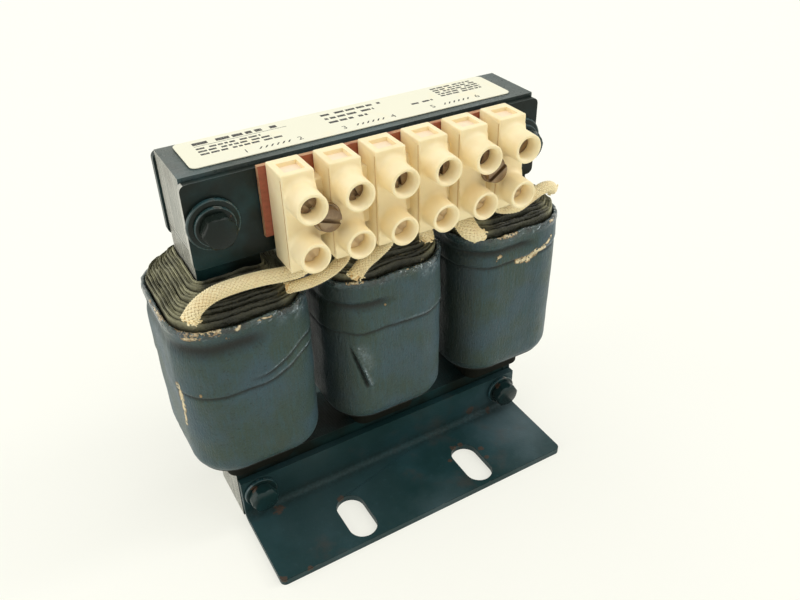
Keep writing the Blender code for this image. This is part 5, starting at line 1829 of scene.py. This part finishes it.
def add_liner(name, points, width):
    """The dark inside of a sleeve, and the bare conductor that goes up from it into the insert."""
    end = points[-1]
    points += [end + Vector((0, 0, 0.0002)), end + Vector((0, 0, CONDUCTOR_REACH))]
    liner = route_curve(points[2:], width)
    for point in liner.splines[0].points[-2:]:
        point.radius = CONDUCTOR_RADIUS
    liner.bevel_depth = 1.0
    liner.bevel_resolution = 3
    liner.use_fill_caps = True
    mesh = worked(baked(held(liner)), merge)
    add_piece(name + "_liner", mesh, finish("liner", paint_liner), sharp=60)


def leads():
    """The six leads, in the order of their poles."""
    for pole, name in enumerate(LEADS, 1):
        braided(name, pole)


def marks(rows):
    """Rows of short dashes: start, end, height of the row, stroke, and a seed for their lengths."""
    shapes = []
    for start, end, y, stroke, seed in rows:
        x, k = start, seed
        while x < end:
            k += 1
            long = stroke * (0.8 + 1.7 * abs(sin(12.9898 * k)))
            stop = min(x + long, end)
            shapes.append(bar(x, stop, y - stroke / 2, y + stroke / 2))
            x = stop + stroke * (0.5 if k % 4 else 1.4)
    return shapes


def coil_symbols(centres, y):
    """A plain wavy line for each winding, drawn as slanted strokes."""
    shapes = []
    low, high = y - 0.0005, y + 0.0005
    for centre in centres:
        for k in range(6):
            x = centre + (k - 2.5) * 0.00135
            shapes.append([(x, low), (x + 0.0004, low), (x + 0.00115, high), (x + 0.00075, high)])
    return shapes


def numerals(places, y, size):
    """Plain pole numbers."""
    meshes = []
    for number, x in enumerate(places, 1):
        text = bpy.data.curves.new("numeral", "FONT")
        text.body = str(number)
        text.size = size
        text.align_x = "CENTER"
        text.align_y = "CENTER"
        text.extrude = sizes().print_height / 2
        meshes.append(moved(worked(baked(held(text)), merge), (x, y, 0)))
    return meshes


def label():
    """A cream label with a plain layout of its own: dashes, coil symbols and pole numbers."""
    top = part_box("top_label")[1].z
    centre, half = middle_and_half("top_label")
    paper = finish("label_paper", paint_label)
    outline = rounded_rectangle(half.x, half.y, 0.0015)
    mesh = softened(sheet([outline], 2 * half.z), 0.00005, 2, CUT_EDGE_ANGLE)
    add_piece("label_paper", moved(mesh, centre), paper, ["top_label"], sharp=0)
    x0, front = -half.x, -half.y
    rows = [(x0 + 0.004, x0 + 0.024, front + 0.0118, 0.0014, 3)]
    for k in range(3):
        rows.append((x0 + 0.004, x0 + 0.019 + 0.002 * k, front + 0.0090 - 0.0016 * k, 0.0008, 11 + 7 * k))
    for k in range(3):
        rows.append((-0.006, 0.010 - 0.003 * k, front + 0.0116 - 0.0024 * k, 0.0010, 31 + 5 * k))
    rows.append((0.016, 0.022, front + 0.0064, 0.0008, 47))
    for k in range(5):
        rows.append((0.0250, 0.0375, front + 0.0124 - 0.0013 * k, 0.0007, 61 + 9 * k))
    shapes = marks(rows)
    poles = [centre_of(name).x - centre.x for name in INSERTS]
    coils_x = [(poles[k] + poles[k + 1]) / 2 - 0.004 + 0.001 * k for k in (0, 2, 4)]
    shapes += coil_symbols(coils_x, front + 0.0024)
    shapes.append(bar(x0 + 0.004, x0 + 0.026, front + 0.01035, front + 0.0105))
    digits = [place + offset for place in coils_x for offset in (-0.0062, 0.0066)]
    print_height = sizes().print_height
    ink = joined(sheet(shapes, print_height), *numerals(digits, front + 0.0024, 0.0025))
    ink = moved(ink, (centre.x, centre.y, top + print_height / 2))
    add_piece("label_print", ink, finish("ink", paint_ink), sharp=0)


def lay_floor():
    def grid(shape):
        bmesh.ops.create_grid(shape, x_segments=1, y_segments=1, size=FLOOR_SIZE / 2)

    mesh = worked(bpy.data.meshes.new("floor"), grid)
    mesh.materials.append(finish("floor", paint_floor))
    held(mesh, "floor")


def light_world(scene):
    """A pale background, and a dimmer light on the object that is stronger from above."""
    world = bpy.data.worlds.new("studio")
    world.use_nodes = True
    world.node_tree.nodes.clear()
    scene.world = world
    tree = Tree(world.node_tree)
    pale = tree.node("ShaderNodeBackground", None, {"Color": tint("floor"), "Strength": 1.0})
    up = tree.parts(tree.node("ShaderNodeTexCoord", output="Generated"))[2]
    strength = 0.29 + tree.step(up, -0.1, 0.9) * 0.42
    light = tree.node("ShaderNodeBackground", None, {"Color": SKY_TINT, "Strength": strength})
    both = tree.node("ShaderNodeMixShader", None, {0: seen_rays(tree), 1: light, 2: pale})
    tree.node("ShaderNodeOutputWorld", None, {"Surface": both})


def set_lamps(scene):
    for name, way, power, spread in LAMPS:
        lamp = bpy.data.lights.new(name, "SUN")
        lamp.energy = power
        lamp.angle = radians(spread)
        item = bpy.data.objects.new(name, lamp)
        item.rotation_euler = Vector(way).to_track_quat("Z", "Y").to_euler()
        scene.collection.objects.link(item)


def set_camera(scene):
    camera = bpy.data.objects.new("camera", bpy.data.cameras.new("camera"))
    camera.data.lens = CAMERA_LENS
    camera.data.clip_start = 0.01
    aim = (Vector(CAMERA_AIM) - Vector(CAMERA_PLACE)).to_track_quat("-Z", "Y").to_matrix().to_4x4()
    roll = Matrix.Rotation(radians(CAMERA_ROLL), 4, "Z")
    camera.matrix_world = Matrix.Translation(CAMERA_PLACE) @ (aim @ roll)
    scene.collection.objects.link(camera)
    scene.camera = camera


def stage():
    scene = bpy.context.scene
    lay_floor()
    light_world(scene)
    set_lamps(scene)
    set_camera(scene)
    scene.view_settings.view_transform = "Standard"


class REACTOR_OT_stage(bpy.types.Operator):
    """Puts in the floor, the light and the camera"""

    bl_idname = "reactor.stage"
    bl_label = "Stage"

    def execute(self, context):
        stage()
        return {"FINISHED"}


class REACTOR_OT_core(bpy.types.Operator):
    """Stacks the core sheets and dresses the spacer between the two stacks"""

    bl_idname = "reactor.core"
    bl_label = "Core"

    def execute(self, context):
        core_sheets()
        return {"FINISHED"}


class REACTOR_OT_clamp_plates(bpy.types.Operator):
    """Makes the soft-edged bars on the upper yoke"""

    bl_idname = "reactor.clamp_plates"
    bl_label = "Clamp plates"

    def execute(self, context):
        clamp_plates()
        return {"FINISHED"}


class REACTOR_OT_feet(bpy.types.Operator):
    """Cuts, rounds and bends the slotted foot angles"""

    bl_idname = "reactor.feet"
    bl_label = "Feet"

    def execute(self, context):
        feet()
        return {"FINISHED"}


class REACTOR_OT_fasteners(bpy.types.Operator):
    """Places the bolts, nuts and washers"""

    bl_idname = "reactor.fasteners"
    bl_label = "Fasteners"

    def execute(self, context):
        fasteners()
        return {"FINISHED"}


class REACTOR_OT_coils(bpy.types.Operator):
    """Builds the tape wraps and the winding layers inside them"""

    bl_idname = "reactor.coils"
    bl_label = "Coils"

    def execute(self, context):
        coils()
        return {"FINISHED"}


class REACTOR_OT_terminal_strip(bpy.types.Operator):
    """Moulds the row of poles"""

    bl_idname = "reactor.terminal_strip"
    bl_label = "Terminal strip"

    def execute(self, context):
        terminal_strip()
        return {"FINISHED"}


class REACTOR_OT_strip_hardware(bpy.types.Operator):
    """Places the strip's screws, inserts and fibre sheet"""

    bl_idname = "reactor.strip_hardware"
    bl_label = "Strip hardware"

    def execute(self, context):
        strip_hardware()
        return {"FINISHED"}


class REACTOR_OT_leads(bpy.types.Operator):
    """Braids the sleeves from the coils to the poles"""

    bl_idname = "reactor.leads"
    bl_label = "Leads"

    def execute(self, context):
        leads()
        return {"FINISHED"}


class REACTOR_OT_label(bpy.types.Operator):
    """Lays the label and its plain marks"""

    bl_idname = "reactor.label"
    bl_label = "Label"

    def execute(self, context):
        label()
        return {"FINISHED"}


OPERATORS = [
    REACTOR_OT_stage,
    REACTOR_OT_core,
    REACTOR_OT_clamp_plates,
    REACTOR_OT_feet,
    REACTOR_OT_fasteners,
    REACTOR_OT_coils,
    REACTOR_OT_terminal_strip,
    REACTOR_OT_strip_hardware,
    REACTOR_OT_leads,
    REACTOR_OT_label,
]


class REACTOR_PT_panel(bpy.types.Panel):
    """Lists the pieces of the line reactor and their settings."""

    bl_label = "Line reactor"
    bl_space_type = "VIEW_3D"
    bl_region_type = "UI"
    bl_category = "Reactor"

    def draw(self, context):
        for item in OPERATORS:
            self.layout.operator(item.bl_idname)
        for group in (context.scene.reactor_sizes, context.scene.reactor_colours):
            box = self.layout.box()
            for name in group.__annotations__:
                box.prop(group, name)


CLASSES = [ReactorSizes, ReactorColours, *OPERATORS, REACTOR_PT_panel]


def register():
    for item in CLASSES:
        bpy.utils.register_class(item)
    bpy.types.Scene.reactor_sizes = PointerProperty(type=ReactorSizes)
    bpy.types.Scene.reactor_colours = PointerProperty(type=ReactorColours)


def unregister():
    del bpy.types.Scene.reactor_sizes
    del bpy.types.Scene.reactor_colours
    for item in reversed(CLASSES):
        bpy.utils.unregister_class(item)


def main():
    for item in list(bpy.data.objects):
        if item.name in ("Cube", "Light", "Camera"):
            bpy.data.objects.remove(item, do_unlink=True)
    register()
    for item in OPERATORS:
        getattr(bpy.ops.reactor, item.bl_idname.split(".")[1])()


if __name__ == "__main__":
    main()
